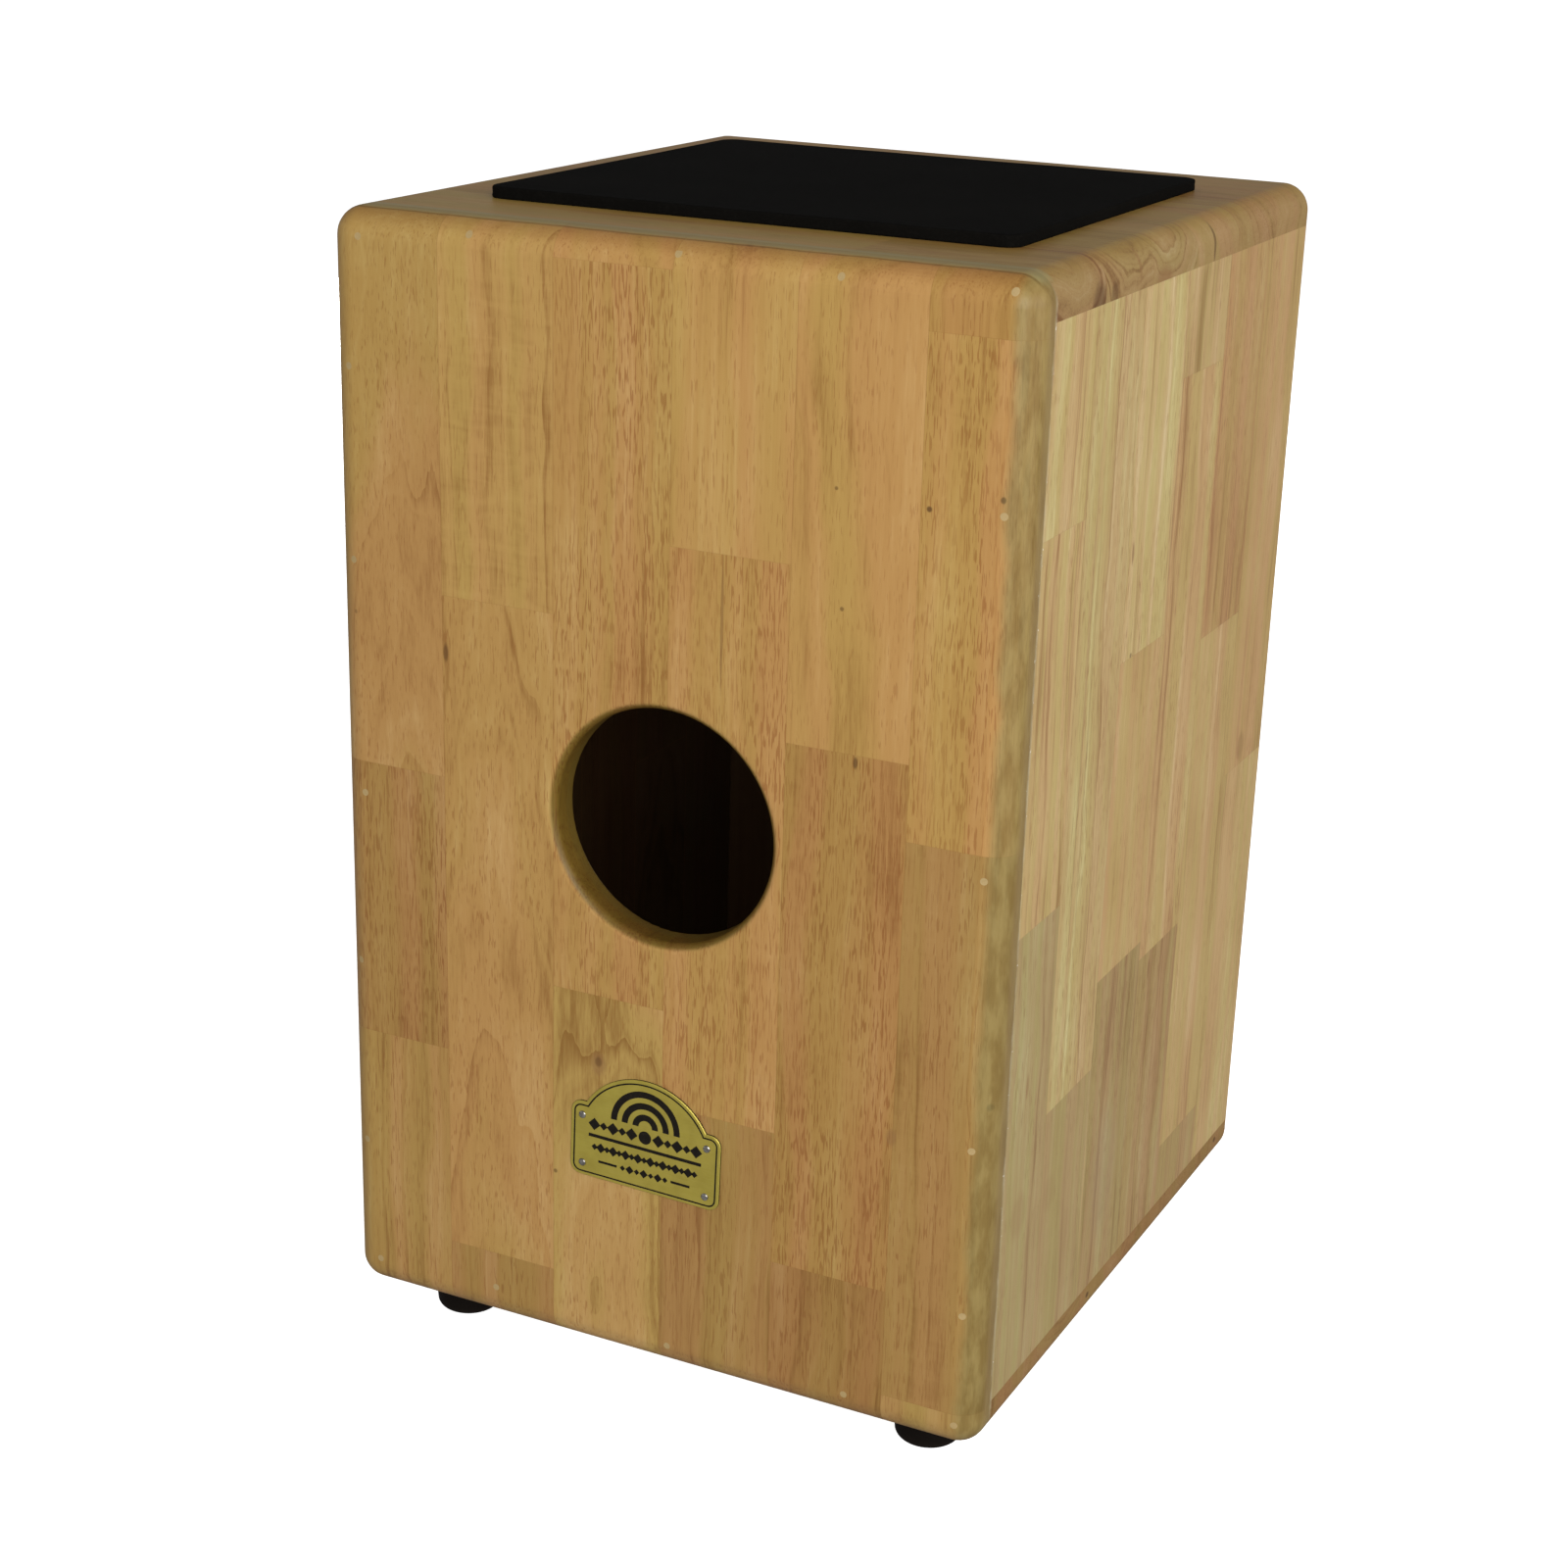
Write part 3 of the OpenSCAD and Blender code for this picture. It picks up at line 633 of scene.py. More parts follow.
# The ends of the top and bottom panels lie in the side faces; their end tints, bluer than END_GRAIN, are
# end-grain colour plus painted sheen like the sides' cast
wood_top = wood("top wood", (1, 0, 0), TOP_MARKS, side_extra, (0.91, 0.95, 0.84),
                end_tint=(1.00, 1.10, 1.70))
wood_bottom = wood("bottom wood", (1, 0, 0), BOTTOM_MARKS, side_extra, (0.93, 0.97, 0.92),
                   end_tint=(0.86, 0.90, 1.15))

rear = staved("rear_panel", "rear_board", panel_pieces(REAR_ROWS, 0, STAVE, 3),
              across=0, along=2, sign=-1, origin=(HALF_W, Z_LOW), material=wood_rear)
right = staved("side_panel_right", "right_board",
               from_edges(panel_pieces(RIGHT_ROWS, 0, STAVE, 11), RIGHT_EDGES),
               across=1, along=2, sign=-1, origin=(Y_REAR, Z_LOW), material=wood_right)
left = staved("side_panel_left", "left_board", panel_pieces(LEFT_ROWS, 14, STAVE, 20),
              across=1, along=2, sign=-1, origin=(Y_REAR, Z_LOW), material=wood_left)
top = staved("top_panel", "top_board", panel_pieces(TOP_ROWS, 14, STAVE, 5),
             across=1, along=0, sign=-1, origin=(Y_REAR, -HALF_W), material=wood_top)
bottom = staved("bottom_panel", "bottom_board", panel_pieces(BOTTOM_ROWS, 14, STAVE, 17),
                across=1, along=0, sign=-1, origin=(Y_REAR, -HALF_W), material=wood_bottom)


def plain_wood(name, along, tone, rings, coarse=1.0, plies=None):
    """Wood for the small CAD parts, worked from their own coordinates."""
    g = Graph(name)
    place = g.place()
    x, y, z = g.split(place)
    axes = [x, y, z]
    length = axes.pop(along)
    spot = g.join(axes[0], axes[1], length)
    radius = g.vector("LENGTH", g.vector("MULTIPLY", g.vector("ADD", spot, (40, 55, 0)), (1, 1, 0.03)))
    warp = g.noise(spot, (0.03, 0.03, 0.006), 2)
    radius = g.plus(radius, g.times(warp, 14))
    ring = g.along(g.times(radius, 0.45 * coarse), 2)
    fibre = g.noise(spot, (1.5, 1.5, 0.025), 3, 0.6)
    vessel = g.band(g.noise(spot, (1.7, 1.7, 0.09), 1), 0.66, 0.74)
    value = g.scale_add(g.minus(fibre, 0.5), 0.6, 0.6)
    value = g.scale_add(g.minus(ring, 0.5), rings * 2.4, value)
    color = g.mix(g.band(value, 0.0, 0.6), DARK, MIDDLE)
    color = g.mix(g.band(value, 0.5, 1.1), color, PALE)
    color = g.mix(g.times(vessel, 0.4), color, DARK)
    if plies:
        depth = g.math("DIVIDE", g.minus(y, plies[0]), plies[1] - plies[0])
        layer = g.math("PINGPONG", g.times(depth, 3), 1.0)
        middle = g.band(layer, 0.42, 0.5)
        onto = g.absolute(g.vector("DOT_PRODUCT", g.normal(), (0, 1, 0)))
        middle = g.times(middle, g.band(onto, 0.9, 0.5))
        color = g.mix(middle, color, g.mix(fibre, (0.16, 0.07, 0.022), (0.24, 0.12, 0.04)))
    # Tone, then painted shade on the faces inside the case
    color = shade_inside(g, place, g.vector("MULTIPLY", color, tone))
    g.bump(g.minus(g.times(fibre, 0.4), vessel), 0.05, 0.6)
    return g.finish(color, g.scale_add(fibre, 0.16, 0.42), Specular_IOR_Level=0.35)


def dress(nodes, material):
    """Gives CAD nodes that keep their own shape a material."""
    for name in nodes:
        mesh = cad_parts[name].data
        mesh.materials.clear()
        mesh.materials.append(material)


dress(["tapa"], plain_wood("tapa veneer", 2, (1.08, 1.10, 1.15), 0.30, 0.45, plies=(Y_FRONT, TAPA_HIGH[1])))
dress(["corner_block_top_left", "corner_block_top_right",
       "corner_block_bottom_left", "corner_block_bottom_right"],
      plain_wood("glue block wood", 1, (0.95, 0.90, 0.85), 0.8))
dress(["bearing_block_left", "bearing_block_right"],
      plain_wood("bearing block wood", 2, (0.85, 0.78, 0.72), 0.9))
dress(["snare_bar"], plain_wood("turned bar wood", 0, (1.02, 0.98, 0.92), 0.6, 1.4))


# ---------- Metals, rubber, foam and filler ----------

def metal(name, color, rough, grain=(0.4, 0.4, 4.0), wear=0.12, dark=None):
    """Metal with fine brushing along the axis of the smallest grain number."""
    g = Graph(name)
    place = g.place()
    brush = g.noise(place, grain, 3, 0.6)
    patch = g.noise(place, 0.25, 3, 0.6)
    # The darker colour mixed in by patches and brushing: duller metal, and on the pins painted shade
    dull_and_shade = dark or tuple(0.55 * c for c in color)
    tone = g.mix(g.band(patch, 0.35, 0.75), color, dull_and_shade)
    tone = g.mix(g.times(g.band(brush, 0.35, 0.7), wear), tone, dull_and_shade)
    g.bump(brush, 0.015, 0.5)
    return g.finish(tone, g.scale_add(patch, 0.2, rough), Metallic=1.0)


def foam_material():
    g = Graph("closed cell foam")
    place = g.place()
    cell = g.cells(place, 2.2)
    dust = g.noise(place, 0.7, 4, 0.7)
    cloud = g.noise(place, 0.02, 3, 0.6)
    color = g.mix(g.band(dust, 0.45, 0.75), (0.0034, 0.0031, 0.0026), (0.0056, 0.0051, 0.0043))
    color = g.mix(g.band(cloud, 0.4, 0.7, 0.0, 0.35), color, (0.0064, 0.0058, 0.0049))
    g.bump(g.minus(dust, g.times(cell, 0.6)), 0.12, 0.5)
    return g.finish(color, g.scale_add(dust, 0.12, 0.86), Specular_IOR_Level=0.03)


def rubber_material():
    g = Graph("moulded rubber")
    place = g.place()
    fine = g.noise(place, 1.4, 3, 0.6)
    scuff = g.band(g.noise(place, (0.12, 0.12, 0.5), 3, 0.65), 0.55, 0.72)
    _, _, z = g.split(place)
    low = g.band(z, 0.0, 5.0, 1.0, 0.0)
    color = g.mix(g.times(scuff, 0.5), (0.0055, 0.0036, 0.0026), (0.011, 0.0075, 0.0054))
    color = g.mix(g.times(low, 0.35), color, (0.020, 0.014, 0.010))
    g.bump(fine, 0.06, 0.5)
    return g.finish(color, g.scale_add(fine, 0.2, 0.60), Specular_IOR_Level=0.07)


def filler_material():
    g = Graph("wood filler")
    place = g.place()
    grit = g.noise(place, 1.8, 3, 0.7)
    color = g.mix(grit, (0.35, 0.232, 0.085), (0.44, 0.32, 0.145))
    g.bump(grit, 0.06, 0.6)
    return g.finish(color, g.scale_add(grit, 0.2, 0.5))


steel = metal("zinc plated steel", (0.60, 0.60, 0.58), 0.24)
# The pins' near-black patches, mixed in strongly by wear=0.4, are painted shade on their domes
pin_steel = metal("nickel pin", (0.60, 0.58, 0.54), 0.12, wear=0.4, dark=(0.12, 0.10, 0.08))
snare_steel = metal("snare wire", (0.62, 0.61, 0.58), 0.20)
brass = metal("machined brass", (0.72, 0.52, 0.20), 0.22, (4.0, 0.4, 4.0))
foam = foam_material()
rubber = rubber_material()

dress(["brad_fillers"], filler_material())
dress(["rear_brads"], steel)
dress(["lock_insert", "snare_plate_left", "snare_plate_right"], brass)


# ---------- Turned parts ----------

def circle(r, count):
    """Places round a circle about the origin."""
    return [(r * math.cos(2 * math.pi * i / count), r * math.sin(2 * math.pi * i / count))
            for i in range(count)]


def skin(bm, rings, closed=False):
    """Faces from each ring of corners to the next, and from the last to the first if closed.
    A ring may be a single corner. Returns the faces in order."""
    faces = []
    for a, b in zip(rings, rings[1:] + (rings[:1] if closed else [])):
        count = max(len(a), len(b))
        for i in range(count):
            j = (i + 1) % count
            corners = (a[i % len(a)], a[j % len(a)], b[j % len(b)], b[i % len(b)])
            faces.append(bm.faces.new(list(dict.fromkeys(corners))))
    return faces


def lathe(bm, profile, segments, matrix, closed=False):
    """A turned solid from (radius, height) points in mm. A point on the axis is a single corner."""
    skin(bm, [[bm.verts.new(matrix @ (Vector((x, y, h)) * MM)) for x, y in circle(r, segments if r else 1)]
              for r, h in profile], closed)


def closed_object(name, bm, material, smooth_angle):
    """Turns a bmesh of closed shells into an object, with every face outwards."""
    bmesh.ops.recalc_face_normals(bm, faces=bm.faces[:])
    return new_object(name, bm, material, smooth_angle)


def arc(cx, cz, r, start, end, steps):
    """Points of an arc in a profile, angles in degrees."""
    result = []
    for i in range(steps + 1):
        a = math.radians(start + (end - start) * i / steps)
        result.append((cx + r * math.cos(a), cz + r * math.sin(a)))
    return result


def toward(origin, direction):
    """Places a part drawn along +Z at origin (mm), pointing along direction."""
    turn = Vector((0, 0, 1)).rotation_difference(Vector(direction)).to_matrix().to_4x4()
    return Matrix.Translation(Vector(origin) * MM) @ turn


FOOT_EDGE = 4.0
FOOT_RECESS = 7.5
FOOT_RECESS_H = 6.0
SCREW_HOLE = 2.05
SCREW_PITCH = 0.55


def foot(node):
    """A tapered rubber foot with a rounded lower edge, a moulded ring and a screw recess."""
    low, high = box_mm(node)
    middle = [(a + b) / 2 for a, b in zip(low, high)]
    top_r = (high[0] - low[0]) / 2
    low_r = top_r - 1.5
    height = high[2]
    profile = [(SCREW_HOLE, FOOT_RECESS_H), (FOOT_RECESS - 0.6, FOOT_RECESS_H),
               (FOOT_RECESS, FOOT_RECESS_H - 0.6), (FOOT_RECESS, 0.5), (FOOT_RECESS + 0.5, 0.0)]
    profile += [(low_r - FOOT_EDGE - 1.2, 0.0)]
    profile += arc(low_r - FOOT_EDGE, FOOT_EDGE, FOOT_EDGE, -90, -2, 12)
    profile += [(low_r + 1.10, height - 3.2), (low_r + 1.16, height - 2.4)]
    profile += [(top_r - 0.05, height - 0.5), (top_r - 0.4, height), (SCREW_HOLE, height)]
    bm = bmesh.new()
    matrix = Matrix.Translation(Vector((middle[0], middle[1], 0)) * MM)
    lathe(bm, profile, 72, matrix, closed=True)
    obj = closed_object(node.replace("foot", "rubber_foot"), bm, rubber, smooth_angle=40)
    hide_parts(node)
    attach(obj, "case")


for place_name in ("front_left", "front_right", "rear_left", "rear_right"):
    foot("foot_" + place_name)


def cross_depth(x, y, size, depth):
    """Depth of a Phillips recess at a point of a screw head."""
    arm = max(min(abs(x), abs(y)) - 0.16 * size, 0.0)
    reach = max(abs(x), abs(y)) / size
    wall = min(1.0, arm / (0.10 * size))
    slope = max(0.0, 1.0 - reach ** 2)
    return depth * (1.0 - wall) * min(1.0, slope * 1.6)


def screw(bm, matrix, head_r, head_h, shank_r, length, turn):
    """A domed screw: the head above z = 0, the threaded shank below."""
    dome = (head_r ** 2 + head_h ** 2) / (2 * head_h)
    segments, rings = 48, 14
    grid = []
    for k in range(rings + 1):
        r = head_r * (k / rings)
        surface = math.sqrt(max(dome ** 2 - r ** 2, 0.0)) - dome + head_h
        ring = []
        for x, y in circle(r, segments if k else 1):
            h = max(surface - cross_depth(x, y, head_r * 0.62, head_h * 0.8), 0.15) if k < rings else 0.0
            spin = Matrix.Rotation(turn, 3, "Z") @ Vector((x, y, h))
            ring.append(bm.verts.new(matrix @ (spin * MM)))
        grid.append(ring)
    steps = max(4, int(length / SCREW_PITCH))
    for k in range(steps + 1):
        down = length * k / steps
        taper = 1.0 if down < length - 3 * shank_r else max(0.12, (length - down) / (3 * shank_r))
        r = shank_r * taper * (1.0 if k % 2 == 0 or k < 3 else 0.84)
        grid.append([bm.verts.new(matrix @ (Vector((x, y, -down)) * MM)) for x, y in circle(r, segments)])
    grid.append([bm.verts.new(matrix @ Vector((0, 0, -length * MM)))])
    skin(bm, grid)


def screw_set(name, node, body, material, places, sizes):
    """One object with every screw of a CAD node. places: [(origin, direction), ...] in mm."""
    spin = random.Random(name)
    bm = bmesh.new()
    for origin, direction in places:
        screw(bm, toward(origin, direction), *sizes, spin.uniform(0, math.pi / 2))
    obj = closed_object(name, bm, material, smooth_angle=38)
    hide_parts(node)
    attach(obj, body)


def islands(node):
    """Middles and sizes of a CAD node's separate solids, in mm."""
    bm = bmesh.new()
    bm.from_mesh(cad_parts[node].data)
    bmesh.ops.remove_doubles(bm, verts=bm.verts[:], dist=1e-6)
    left, found = set(bm.verts), []
    while left:
        stack = [left.pop()]
        group = []
        while stack:
            v = stack.pop()
            group.append(v.co / MM)
            for e in v.link_edges:
                w = e.other_vert(v)
                if w in left:
                    left.remove(w)
                    stack.append(w)
        low = [min(p[i] for p in group) for i in range(3)]
        high = [max(p[i] for p in group) for i in range(3)]
        found.append((low, high))
    bm.free()
    return sorted(found)


def middle(solid, axis):
    return (solid[0][axis] + solid[1][axis]) / 2


tapa_places = [((middle(s, 0), Y_FRONT, middle(s, 2)), (0, -1, 0)) for s in islands("tapa_screws")]
screw_set("tapa_screw_heads", "tapa_screws", "case", steel, tapa_places, (3.75, 1.8, 1.75, 22))
foot_places = [((middle(s, 0), middle(s, 1), 5.0), (0, 0, -1)) for s in islands("foot_screws")]
screw_set("foot_screw_heads", "foot_screws", "case", steel, foot_places, (4.0, 2.6, 2.0, 30))
block_places = []
for s in islands("bearing_block_screws"):
    away = 1 if middle(s, 0) > 0 else -1
    head = s[0][0] + 2.2 if away > 0 else s[1][0] - 2.2
    block_places.append(((head, middle(s, 1), middle(s, 2)), (-away, 0, 0)))
screw_set("block_screw_heads", "bearing_block_screws", "case", steel, block_places,
          (3.5, 2.2, 1.75, 32))

LEAN = math.radians(1.6)
BAR_LOW, BAR_HIGH = box_mm("snare_bar")
AXIS_Y = (BAR_LOW[1] + BAR_HIGH[1]) / 2
AXIS_Z = (BAR_LOW[2] + BAR_HIGH[2]) / 2


def on_bar(x, y, z):
    """A point drawn about the snare bar's axis, with the snares' lean, in mm."""
    c, s = math.cos(-LEAN), math.sin(-LEAN)
    return (x, AXIS_Y + y * c - z * s, AXIS_Z + y * s + z * c)


bar_places = []
for x in sorted(middle(s, 0) for s in islands("snare_screws")):
    face = on_bar(x, -10.6, -6.0)
    outward = Vector(on_bar(x, -11.6, -6.0)) - Vector(face)
    bar_places.append((face, tuple(outward)))
screw_set("snare_screw_heads", "snare_screws", "snare_carrier", steel, bar_places,
          (2.5, 1.2, 1.25, 9))


def pressed_washers():
    """Four washers with a rolled outer edge."""
    bm = bmesh.new()
    for low, high in islands("foot_washers"):
        cx, cy = (low[0] + high[0]) / 2, (low[1] + high[1]) / 2
        outer, inner, z0, z1 = (high[0] - low[0]) / 2, 2.1, low[2], high[2]
        profile = [(inner, z0 + 0.2), (inner + 0.2, z0), (outer - 0.3, z0), (outer, z0 + 0.3),
                   (outer, z1 - 0.3), (outer - 0.3, z1), (inner + 0.2, z1), (inner, z1 - 0.2)]
        lathe(bm, profile, 48, Matrix.Translation(Vector((cx, cy, 0)) * MM), closed=True)
    obj = closed_object("rolled_washers", bm, steel, smooth_angle=40)
    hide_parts("foot_washers")
    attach(obj, "case")


pressed_washers()


# The lock screw's knob, in mm
KNOB_FRONT = -128.5
KNURL_DEPTH = 0.45
SLOT_DEPTH = 1.5
SLOT_HALF_WIDTH = 0.85


def lock_screw():
    """A slotted thumb screw with a knurled knob."""
    low, high = box_mm("lock_screw")
    x, z = (low[0] + high[0]) / 2, (low[2] + high[2]) / 2
    tip, back, front = low[1], high[1], KNOB_FRONT
    knob_r, shank_r, flutes = (high[0] - low[0]) / 2, 3.0, 30
    segments = flutes * 4
    profile = [(0.0, tip, 0), (1.6, tip, 0)]
    count = 22
    for k in range(count + 1):
        y = tip + 0.6 + (front - tip - 1.0) * k / count
        profile.append((shank_r - (0.35 if k % 2 else 0.0), y, 0))
    profile += [(knob_r - 1.2, front, 0), (knob_r - 0.3, front + 0.7, 1), (knob_r, front + 1.4, 1),
                (knob_r, back - 1.6, 1), (knob_r - 0.5, back - 0.6, 1), (knob_r - 1.4, back, 0)]
    radii = [6.2, 5.2, 4.2, 3.2, 2.4, 1.6, 0.8]
    profile += [(r, back, 0) for r in radii] + [(0.0, back, 0)]
    bm = bmesh.new()
    rings = []
    for index, (r, y, knurl) in enumerate(profile):
        ring = []
        for i, (cx, cz) in enumerate(circle(1, segments if r > 0 else 1)):
            notched_r = r - (KNURL_DEPTH if knurl and i % 4 in (0, 1) else 0.0)
            px, pz = notched_r * cx, notched_r * cz
            in_slot = y == back and abs(pz) < SLOT_HALF_WIDTH and index > count
            depth = SLOT_DEPTH if in_slot else 0.0
            ring.append(bm.verts.new(Vector((x + px, y - depth, z + pz)) * MM))
        rings.append(ring)
    skin(bm, rings)
    obj = closed_object("knurled_lock_screw", bm, steel, smooth_angle=30)
    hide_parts("lock_screw")
    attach(obj, "lock_screw_body")


lock_screw()


# ---------- Snare wires ----------

# Places in the bar's frame, in mm
COIL_Y = -9.3
COIL_TOP = -12.0
COIL_BOTTOM = -142.0
WIRE_R = 0.28


def coil(bm, centre_x, top, bottom, radius, wire, turn_pitch, phase):
    """A close helix of wire hanging from top to bottom, in the bar's frame."""
    around, sides = 12, 5
    steps = int((top - bottom) / turn_pitch * around)
    rings = []
    for k in range(steps + 1):
        a = 2 * math.pi * k / around + phase
        z = top - (top - bottom) * k / steps
        outward = Vector((math.cos(a), math.sin(a), 0))
        centre = Vector((centre_x, COIL_Y, z)) + outward * (radius - wire)
        ring = []
        for s in range(sides):
            b = 2 * math.pi * s / sides
            p = centre + outward * wire * math.cos(b) + Vector((0, 0, wire * math.sin(b)))
            ring.append(bm.verts.new(Vector(on_bar(*p)) * MM))
        rings.append(ring)
    skin(bm, rings)
    bm.faces.new(rings[0][::-1])
    bm.faces.new(rings[-1])


def snare(side, node):
    low, high = box_mm(node)
    count, pitch, radius = 10, 5.0, 1.2
    centre = (low[0] + high[0]) / 2
    bm = bmesh.new()
    for i in range(count):
        x = centre + (i - (count - 1) / 2) * pitch
        coil(bm, x, COIL_TOP, COIL_BOTTOM, radius, WIRE_R, 1.0, i * 2.4)
    obj = closed_object("snare_wires_" + side, bm, snare_steel, smooth_angle=80)
    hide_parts(node)
    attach(obj, "snare_carrier")


snare("left", "snare_coils_left")
snare("right", "snare_coils_right")


# ---------- Seat pad ----------

def rounded_outline(half_w, half_d, radius, steps):
    """Points of a rounded rectangle, counter-clockwise, in mm."""
    points = []
    for sx, sy, start in ((1, 1, 0), (-1, 1, 90), (-1, -1, 180), (1, -1, 270)):
        points += arc(sx * (half_w - radius), sy * (half_d - radius), radius, start, start + 90, steps)
    return points


def seat_pad():
    """A thin foam pad: die-cut sides that lean in a little, a soft upper edge and a slack top."""
    low, high = box_mm("seat_pad")
    turn = math.radians(0.5)
    centre = Vector(((low[0] + high[0]) / 2, (low[1] + high[1]) / 2, 0))
    half_w, half_d, radius = 116.0, 107.5, 7.0
    bottom, top = low[2], high[2]
    wander = random.Random(5)
    phases = [wander.uniform(0, 6.28) for _ in range(6)]

    def wave(x, y):
        return (0.10 * math.sin(x / 31 + phases[0]) * math.sin(y / 27 + phases[1])
                + 0.06 * math.sin(x / 13 + phases[2] + y / 19)
                + 0.03 * math.sin(x / 7 + phases[3]) * math.sin(y / 8 + phases[4]))

    # Inset from the outline, height above the bottom, share of the top's waviness
    levels = [(0.5, 0.0, 0.0), (0.15, 0.25, 0.0), (0.0, 0.9, 0.0), (0.12, 2.4, 0.0), (0.05, 3.9, 0.0),
              (0.12, 4.4, 0.2), (0.35, 4.7, 0.5), (0.8, 4.86, 0.8), (1.6, 4.88, 1.0)]
    levels += [(inset, 4.88, 1.0) for inset in (4, 8, 14, 22, 32, 44, 58, 74, 90)]
    bm = bmesh.new()
    rings = []
    outline = rounded_outline(half_w, half_d, radius, 8)
    fine = []
    for i, p in enumerate(outline):
        q = outline[(i + 1) % len(outline)]
        parts = max(1, int(math.dist(p, q) / 6))
        fine += [(p[0] + (q[0] - p[0]) * k / parts, p[1] + (q[1] - p[1]) * k / parts) for k in range(parts)]
    for inset, height, share in levels:
        ring = []
        for x, y in fine:
            shrink_x, shrink_y = (half_w - inset) / half_w, (half_d - inset) / half_d
            px, py = x * shrink_x, y * shrink_y
            h = height + share * wave(px, py)
            # A small nick in the long edge towards the sound-hole panel
            if abs(px - 27) < 1.2 and py > half_d - 1.5 and 1.5 < height < 4.8:
                py -= 0.7
            p = Matrix.Rotation(turn, 3, "Z") @ Vector((px, py, 0)) + centre
            ring.append(bm.verts.new(Vector((p.x, p.y, bottom + min(h, top - bottom))) * MM))
        rings.append(ring)
    skin(bm, rings)
    bm.faces.new(rings[0][::-1])
    last = rings[-1]
    hub = bm.verts.new(sum((v.co for v in last), Vector()) / len(last))
    for i in range(len(last)):
        bm.faces.new((last[i], last[(i + 1) % len(last)], hub))
    obj = closed_object("foam_seat_pad", bm, foam, smooth_angle=50)
    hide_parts("seat_pad")
    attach(obj, "case")


seat_pad()


# ---------- Name plate ----------

PLATE_LOW, PLATE_HIGH = box_mm("name_plate")
PLATE_X = 3.0
PLATE_BASE = Z_LOW + 82.5
PLATE_TURN = math.radians(1.4)
PLATE_HALF = 35.75
PLATE_TOP = 51.0
PLATE_SIDE = 34.5
PLATE_CORNER = 5.0
ARCH_R = 33.0
PLATE_BACK = PLATE_LOW[1]
PLATE_FACE = PLATE_HIGH[1]


def plate_outline(inset):
    """The plate's outline moved inwards: straight sides, rounded shoulders and an arch, in mm."""
    half, side, corner = PLATE_HALF - inset, PLATE_SIDE - inset, max(PLATE_CORNER - inset, 0.6)
    radius = ARCH_R - inset
    cz = PLATE_TOP - ARCH_R
    # Where the arch meets the shoulder line
    rise = side - cz
    meet = math.sqrt(max(radius ** 2 - rise ** 2, 0.0))
    points = arc(half - corner, inset + corner, corner, -90, 0, 8)
    if meet < half - corner:
        points += arc(half - corner, side - corner, corner, 0, 90, 8)
    else:
        points += arc(half - corner, side - corner, corner, 0, 60, 6)
    start = math.degrees(math.atan2(rise, meet))
    points += arc(0, cz, radius, start, 90, 26)
    mirrored = [(-x, z) for x, z in reversed(points[:-1])]
    return points + mirrored


def plate_point(x, z, y):
    """A point of the plate; +x on the plate is towards the viewer's right, seen from behind."""
    c, s = math.cos(PLATE_TURN), math.sin(PLATE_TURN)
    return Vector((PLATE_X - x * c - z * s, y, PLATE_BASE - x * s + z * c)) * MM


def plate_material():
    """Gold anodised sheet, finely brushed from side to side, a little duller in patches."""
    g = Graph("gold anodised plate")
    place = g.place()
    brush = g.noise(place, (0.08, 4.0, 4.0), 3, 0.6)
    patch = g.noise(place, 0.09, 3, 0.6)
    color = g.mix(g.band(patch, 0.3, 0.75), (0.450, 0.365, 0.064), (0.380, 0.300, 0.050))
    color = g.mix(g.times(g.band(brush, 0.4, 0.7), 0.3), color, (0.500, 0.410, 0.110))
    g.bump(brush, 0.01, 0.5)
    return g.finish(color, g.scale_add(brush, 0.15, 0.38), Metallic=0.5, Specular_IOR_Level=0.2)


def print_material():
    g = Graph("dark print")
    place = g.place()
    wear = g.noise(place, 1.1, 4, 0.7)
    color = g.mix(g.band(wear, 0.45, 0.8), (0.008, 0.006, 0.004), (0.018, 0.014, 0.009))
    g.bump(wear, 0.01, 0.4)
    return g.finish(color, g.scale_add(wear, 0.2, 0.55), Specular_IOR_Level=0.12)


plate_gold = plate_material()
plate_print = print_material()


def name_plate():
    """The sheet itself: a dark cut edge, a bevelled rim and a flat field."""
    bm = bmesh.new()
    face, back = PLATE_FACE, PLATE_BACK
    # Inset, height of the ring, material of the band that starts there
    levels = [(0.0, back, 1), (0.0, face - 0.30, 0), (0.35, face - 0.02, 0), (0.6, face - 0.02, 0)]
    rings = []
    for inset, y, _ in levels:
        rings.append([bm.verts.new(plate_point(x, z, y)) for x, z in plate_outline(inset)])
    for i, f in enumerate(skin(bm, rings)):
        f.material_index = levels[i // len(rings[0])][2]
    bm.faces.new(rings[-1])
    bm.faces.new(rings[0][::-1])
    obj = closed_object("gold_name_plate", bm, plate_gold, smooth_angle=25)
    obj.data.materials.append(plate_print)
    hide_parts("name_plate")
    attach(obj, "case")


name_plate()


def raise_outline(bm, outer, inner=None):
    """A thin raised shape of print between two outlines, or inside one."""
    low, high = PLATE_FACE - 0.025, PLATE_FACE + 0.02
    levels = [(outer, low), (outer, high)]
    if inner:
        levels += [(inner, high), (inner, low)]
    rings = [[bm.verts.new(plate_point(x, z, y)) for x, z in outline] for outline, y in levels]
    skin(bm, rings, closed=inner is not None)
    if not inner:
        bm.faces.new(rings[1])
        bm.faces.new(rings[0][::-1])


def half_ring(cx, cz, outer_r, inner_r):
    """A half ring standing on its ends, as one outline."""
    return arc(cx, cz, outer_r, 0, 180, 28) + arc(cx, cz, inner_r, 180, 0, 24)


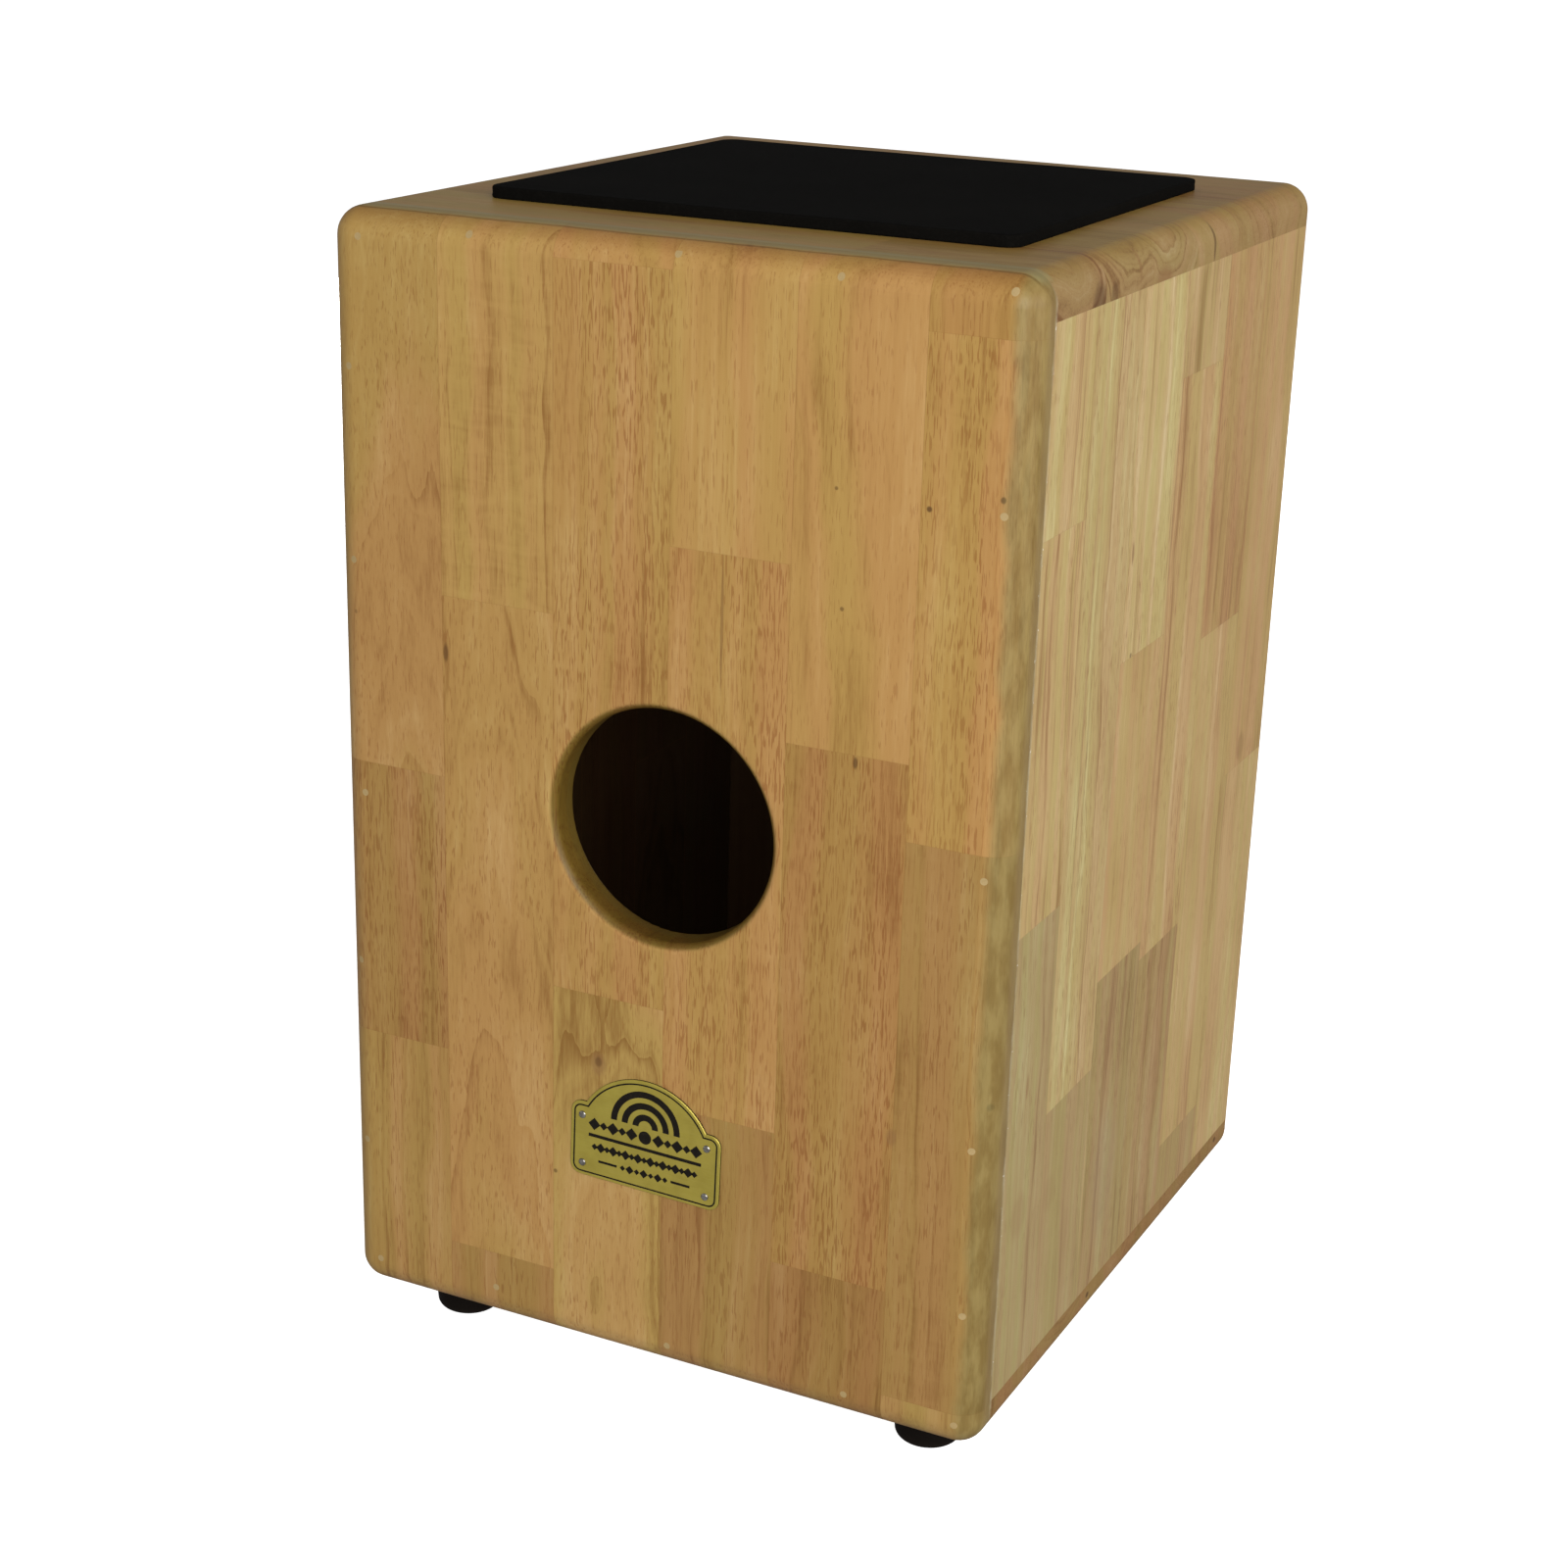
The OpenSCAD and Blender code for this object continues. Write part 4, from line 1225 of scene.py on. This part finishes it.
def bar(cx, cz, width, height):
    return [(cx - width / 2, cz - height / 2), (cx + width / 2, cz - height / 2),
            (cx + width / 2, cz + height / 2), (cx - width / 2, cz + height / 2)]


def diamond(cx, cz, size):
    return [(cx + size, cz), (cx, cz + size), (cx - size, cz), (cx, cz - size)]


def plate_ornament():
    """The printed line near the rim and a plain ornament: sound waves over rules and diamonds."""
    bm = bmesh.new()
    raise_outline(bm, plate_outline(1.45), plate_outline(2.15))
    for outer_r, inner_r in ((16.5, 13.6), (11.3, 8.4), (6.1, 3.2)):
        raise_outline(bm, half_ring(0, 29.8, outer_r, inner_r))
    for side in (-1, 1):
        for i in range(5):
            raise_outline(bm, diamond(side * (6.4 + i * 4.5), 25.2, 2.9 if i % 2 == 0 else 1.9))
    raise_outline(bm, arc(0, 25.2, 3.0, 0, 345, 23))
    raise_outline(bm, bar(0, 19.8, 54.0, 1.5))
    for i in range(17):
        raise_outline(bm, diamond((i - 8) * 3.0, 14.6, 2.3 if i % 2 else 1.5))
    for side in (-1, 1):
        raise_outline(bm, bar(side * 17.5, 8.2, 9.0, 1.1))
    for i in range(7):
        raise_outline(bm, diamond((i - 3) * 3.4, 8.2, 2.0 if i % 2 else 1.3))
    obj = closed_object("plate_ornament", bm, plate_print, smooth_angle=25)
    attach(obj, "case")


plate_ornament()


SHOULDER = 0.12


def plate_pins():
    """Four domed nickel pins with a small shoulder."""
    bm = bmesh.new()
    for low, high in islands("plate_pins"):
        x, z = (low[0] + high[0]) / 2, (low[2] + high[2]) / 2
        r = (high[0] - low[0]) / 2
        base, tip = PLATE_FACE, low[1]
        profile = [(0.0, tip - base), (0.5, tip - base + 0.6), (0.8, tip - base + 1.4), (0.8, 0.0), (r, 0.0)]
        rise = high[1] - base
        profile.append((r, SHOULDER))
        for turn in map(math.radians, range(15, 90, 15)):
            profile.append((r * math.cos(turn), SHOULDER + (rise - SHOULDER) * math.sin(turn)))
        profile.append((0.0, rise))
        lathe(bm, profile, 32, toward((x, base, z), (0, 1, 0)))
    obj = closed_object("nickel_plate_pins", bm, pin_steel, smooth_angle=50)
    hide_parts("plate_pins")
    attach(obj, "case")


plate_pins()


# ---------- Floor, light and camera ----------

def pale_floor():
    """A large pale floor that glows, and neither lights the object nor is mirrored in it."""
    bm = bmesh.new()
    bmesh.ops.create_grid(bm, x_segments=8, y_segments=8, size=30)
    obj = new_object("floor", bm)
    g = Graph("pale floor")
    cloud = g.noise(g.place(), 0.002, 2)
    color = g.mix(cloud, (0.90, 0.90, 0.90), (0.92, 0.92, 0.92))
    g.finish(color, g.scale_add(cloud, 0.05, 0.9), Specular_IOR_Level=0.1)
    g.shader.inputs["Emission Color"].default_value = (1, 1, 1, 1)
    g.shader.inputs["Emission Strength"].default_value = FLOOR_GLOW
    obj.data.materials.append(g.mat)
    obj.visible_diffuse = False
    obj.visible_glossy = False


def studio_world(below, horizon, zenith, behind):
    """Soft light: its strength from below, at the horizon and overhead, and its share from -Y."""
    world = bpy.data.worlds.new("studio")
    bpy.context.scene.world = world
    world.use_nodes = True
    nodes, links = world.node_tree.nodes, world.node_tree.links
    coord = nodes.new("ShaderNodeTexCoord")
    xyz = nodes.new("ShaderNodeSeparateXYZ")
    links.new(coord.outputs["Generated"], xyz.inputs[0])

    def step(socket, *numbers):
        node = nodes.new("ShaderNodeMapRange")
        links.new(socket, node.inputs["Value"])
        for i, number in enumerate(numbers):
            node.inputs[i + 1].default_value = number
        return node.outputs[0]

    def times(a, b):
        node = nodes.new("ShaderNodeMath")
        node.operation = "MULTIPLY"
        links.new(a, node.inputs[0])
        links.new(b, node.inputs[1])
        return node.outputs[0]

    upper = step(xyz.outputs[2], 0.0, 0.7, horizon, zenith)
    lower = step(xyz.outputs[2], -0.05, 0.05, below / horizon, 1.0)
    facing = step(xyz.outputs[1], -0.6, 0.4, behind, 1.0)
    links.new(times(times(upper, lower), facing), nodes["Background"].inputs["Strength"])
    nodes["Background"].inputs["Color"].default_value = (1, 1, 1, 1)


def softbox(name, place, target, size, power, mirrored=True):
    """A square light at place, facing target, both in metres; mirrored ones show in shiny surfaces."""
    data = bpy.data.lights.new(name, "AREA")
    data.shape = "SQUARE"
    data.size = size
    data.energy = power
    obj = bpy.data.objects.new(name, data)
    obj.location = place
    obj.visible_camera = False
    obj.visible_glossy = mirrored
    obj.rotation_euler = (Vector(target) - Vector(place)).to_track_quat("-Z", "Y").to_euler()
    bpy.context.scene.collection.objects.link(obj)


FLOOR_GLOW = 0.85
pale_floor()
studio_world(0.34, 0.60, 0.30, 0.6)
softbox("key softbox", (-1.2, 1.9, 1.0), (0, 0, 0.35), 1.4, 44)
softbox("side softbox", (-2.6, 0.2, 0.9), (0, 0, 0.25), 1.6, 25)
softbox("front softbox", (1.9, -2.2, 0.3), (0, 0, 0.25), 0.8, 60, mirrored=False)

# Camera: compass direction of the view, tilt below the horizon and roll, in degrees
VIEW_AZIMUTH = 206.139
VIEW_TILT = 20.367
VIEW_ROLL = -1.642
LENS_MM = 64.93
SENSOR_MM = 36.0
CAMERA_SHIFT = (0.0028, 0.0415)
CAMERA_PLACE = (-0.5159, 1.1018, 0.6562)


def camera():
    az, el, roll = map(math.radians, (VIEW_AZIMUTH, VIEW_TILT, VIEW_ROLL))
    forward = Vector((-math.sin(az) * math.cos(el), math.cos(az) * math.cos(el), -math.sin(el)))
    across = forward.cross(Vector((0, 0, 1))).normalized()
    down = forward.cross(across)
    right = math.cos(roll) * across + math.sin(roll) * down
    below = -math.sin(roll) * across + math.cos(roll) * down
    data = bpy.data.cameras.new("camera")
    data.sensor_width = SENSOR_MM
    data.lens = LENS_MM
    data.shift_x, data.shift_y = CAMERA_SHIFT
    obj = bpy.data.objects.new("camera", data)
    turn = Matrix((right, -below, -forward)).transposed().to_4x4()
    obj.matrix_world = Matrix.Translation(CAMERA_PLACE) @ turn
    bpy.context.scene.collection.objects.link(obj)
    bpy.context.scene.camera = obj


camera()
bpy.context.scene.view_settings.view_transform = "Standard"
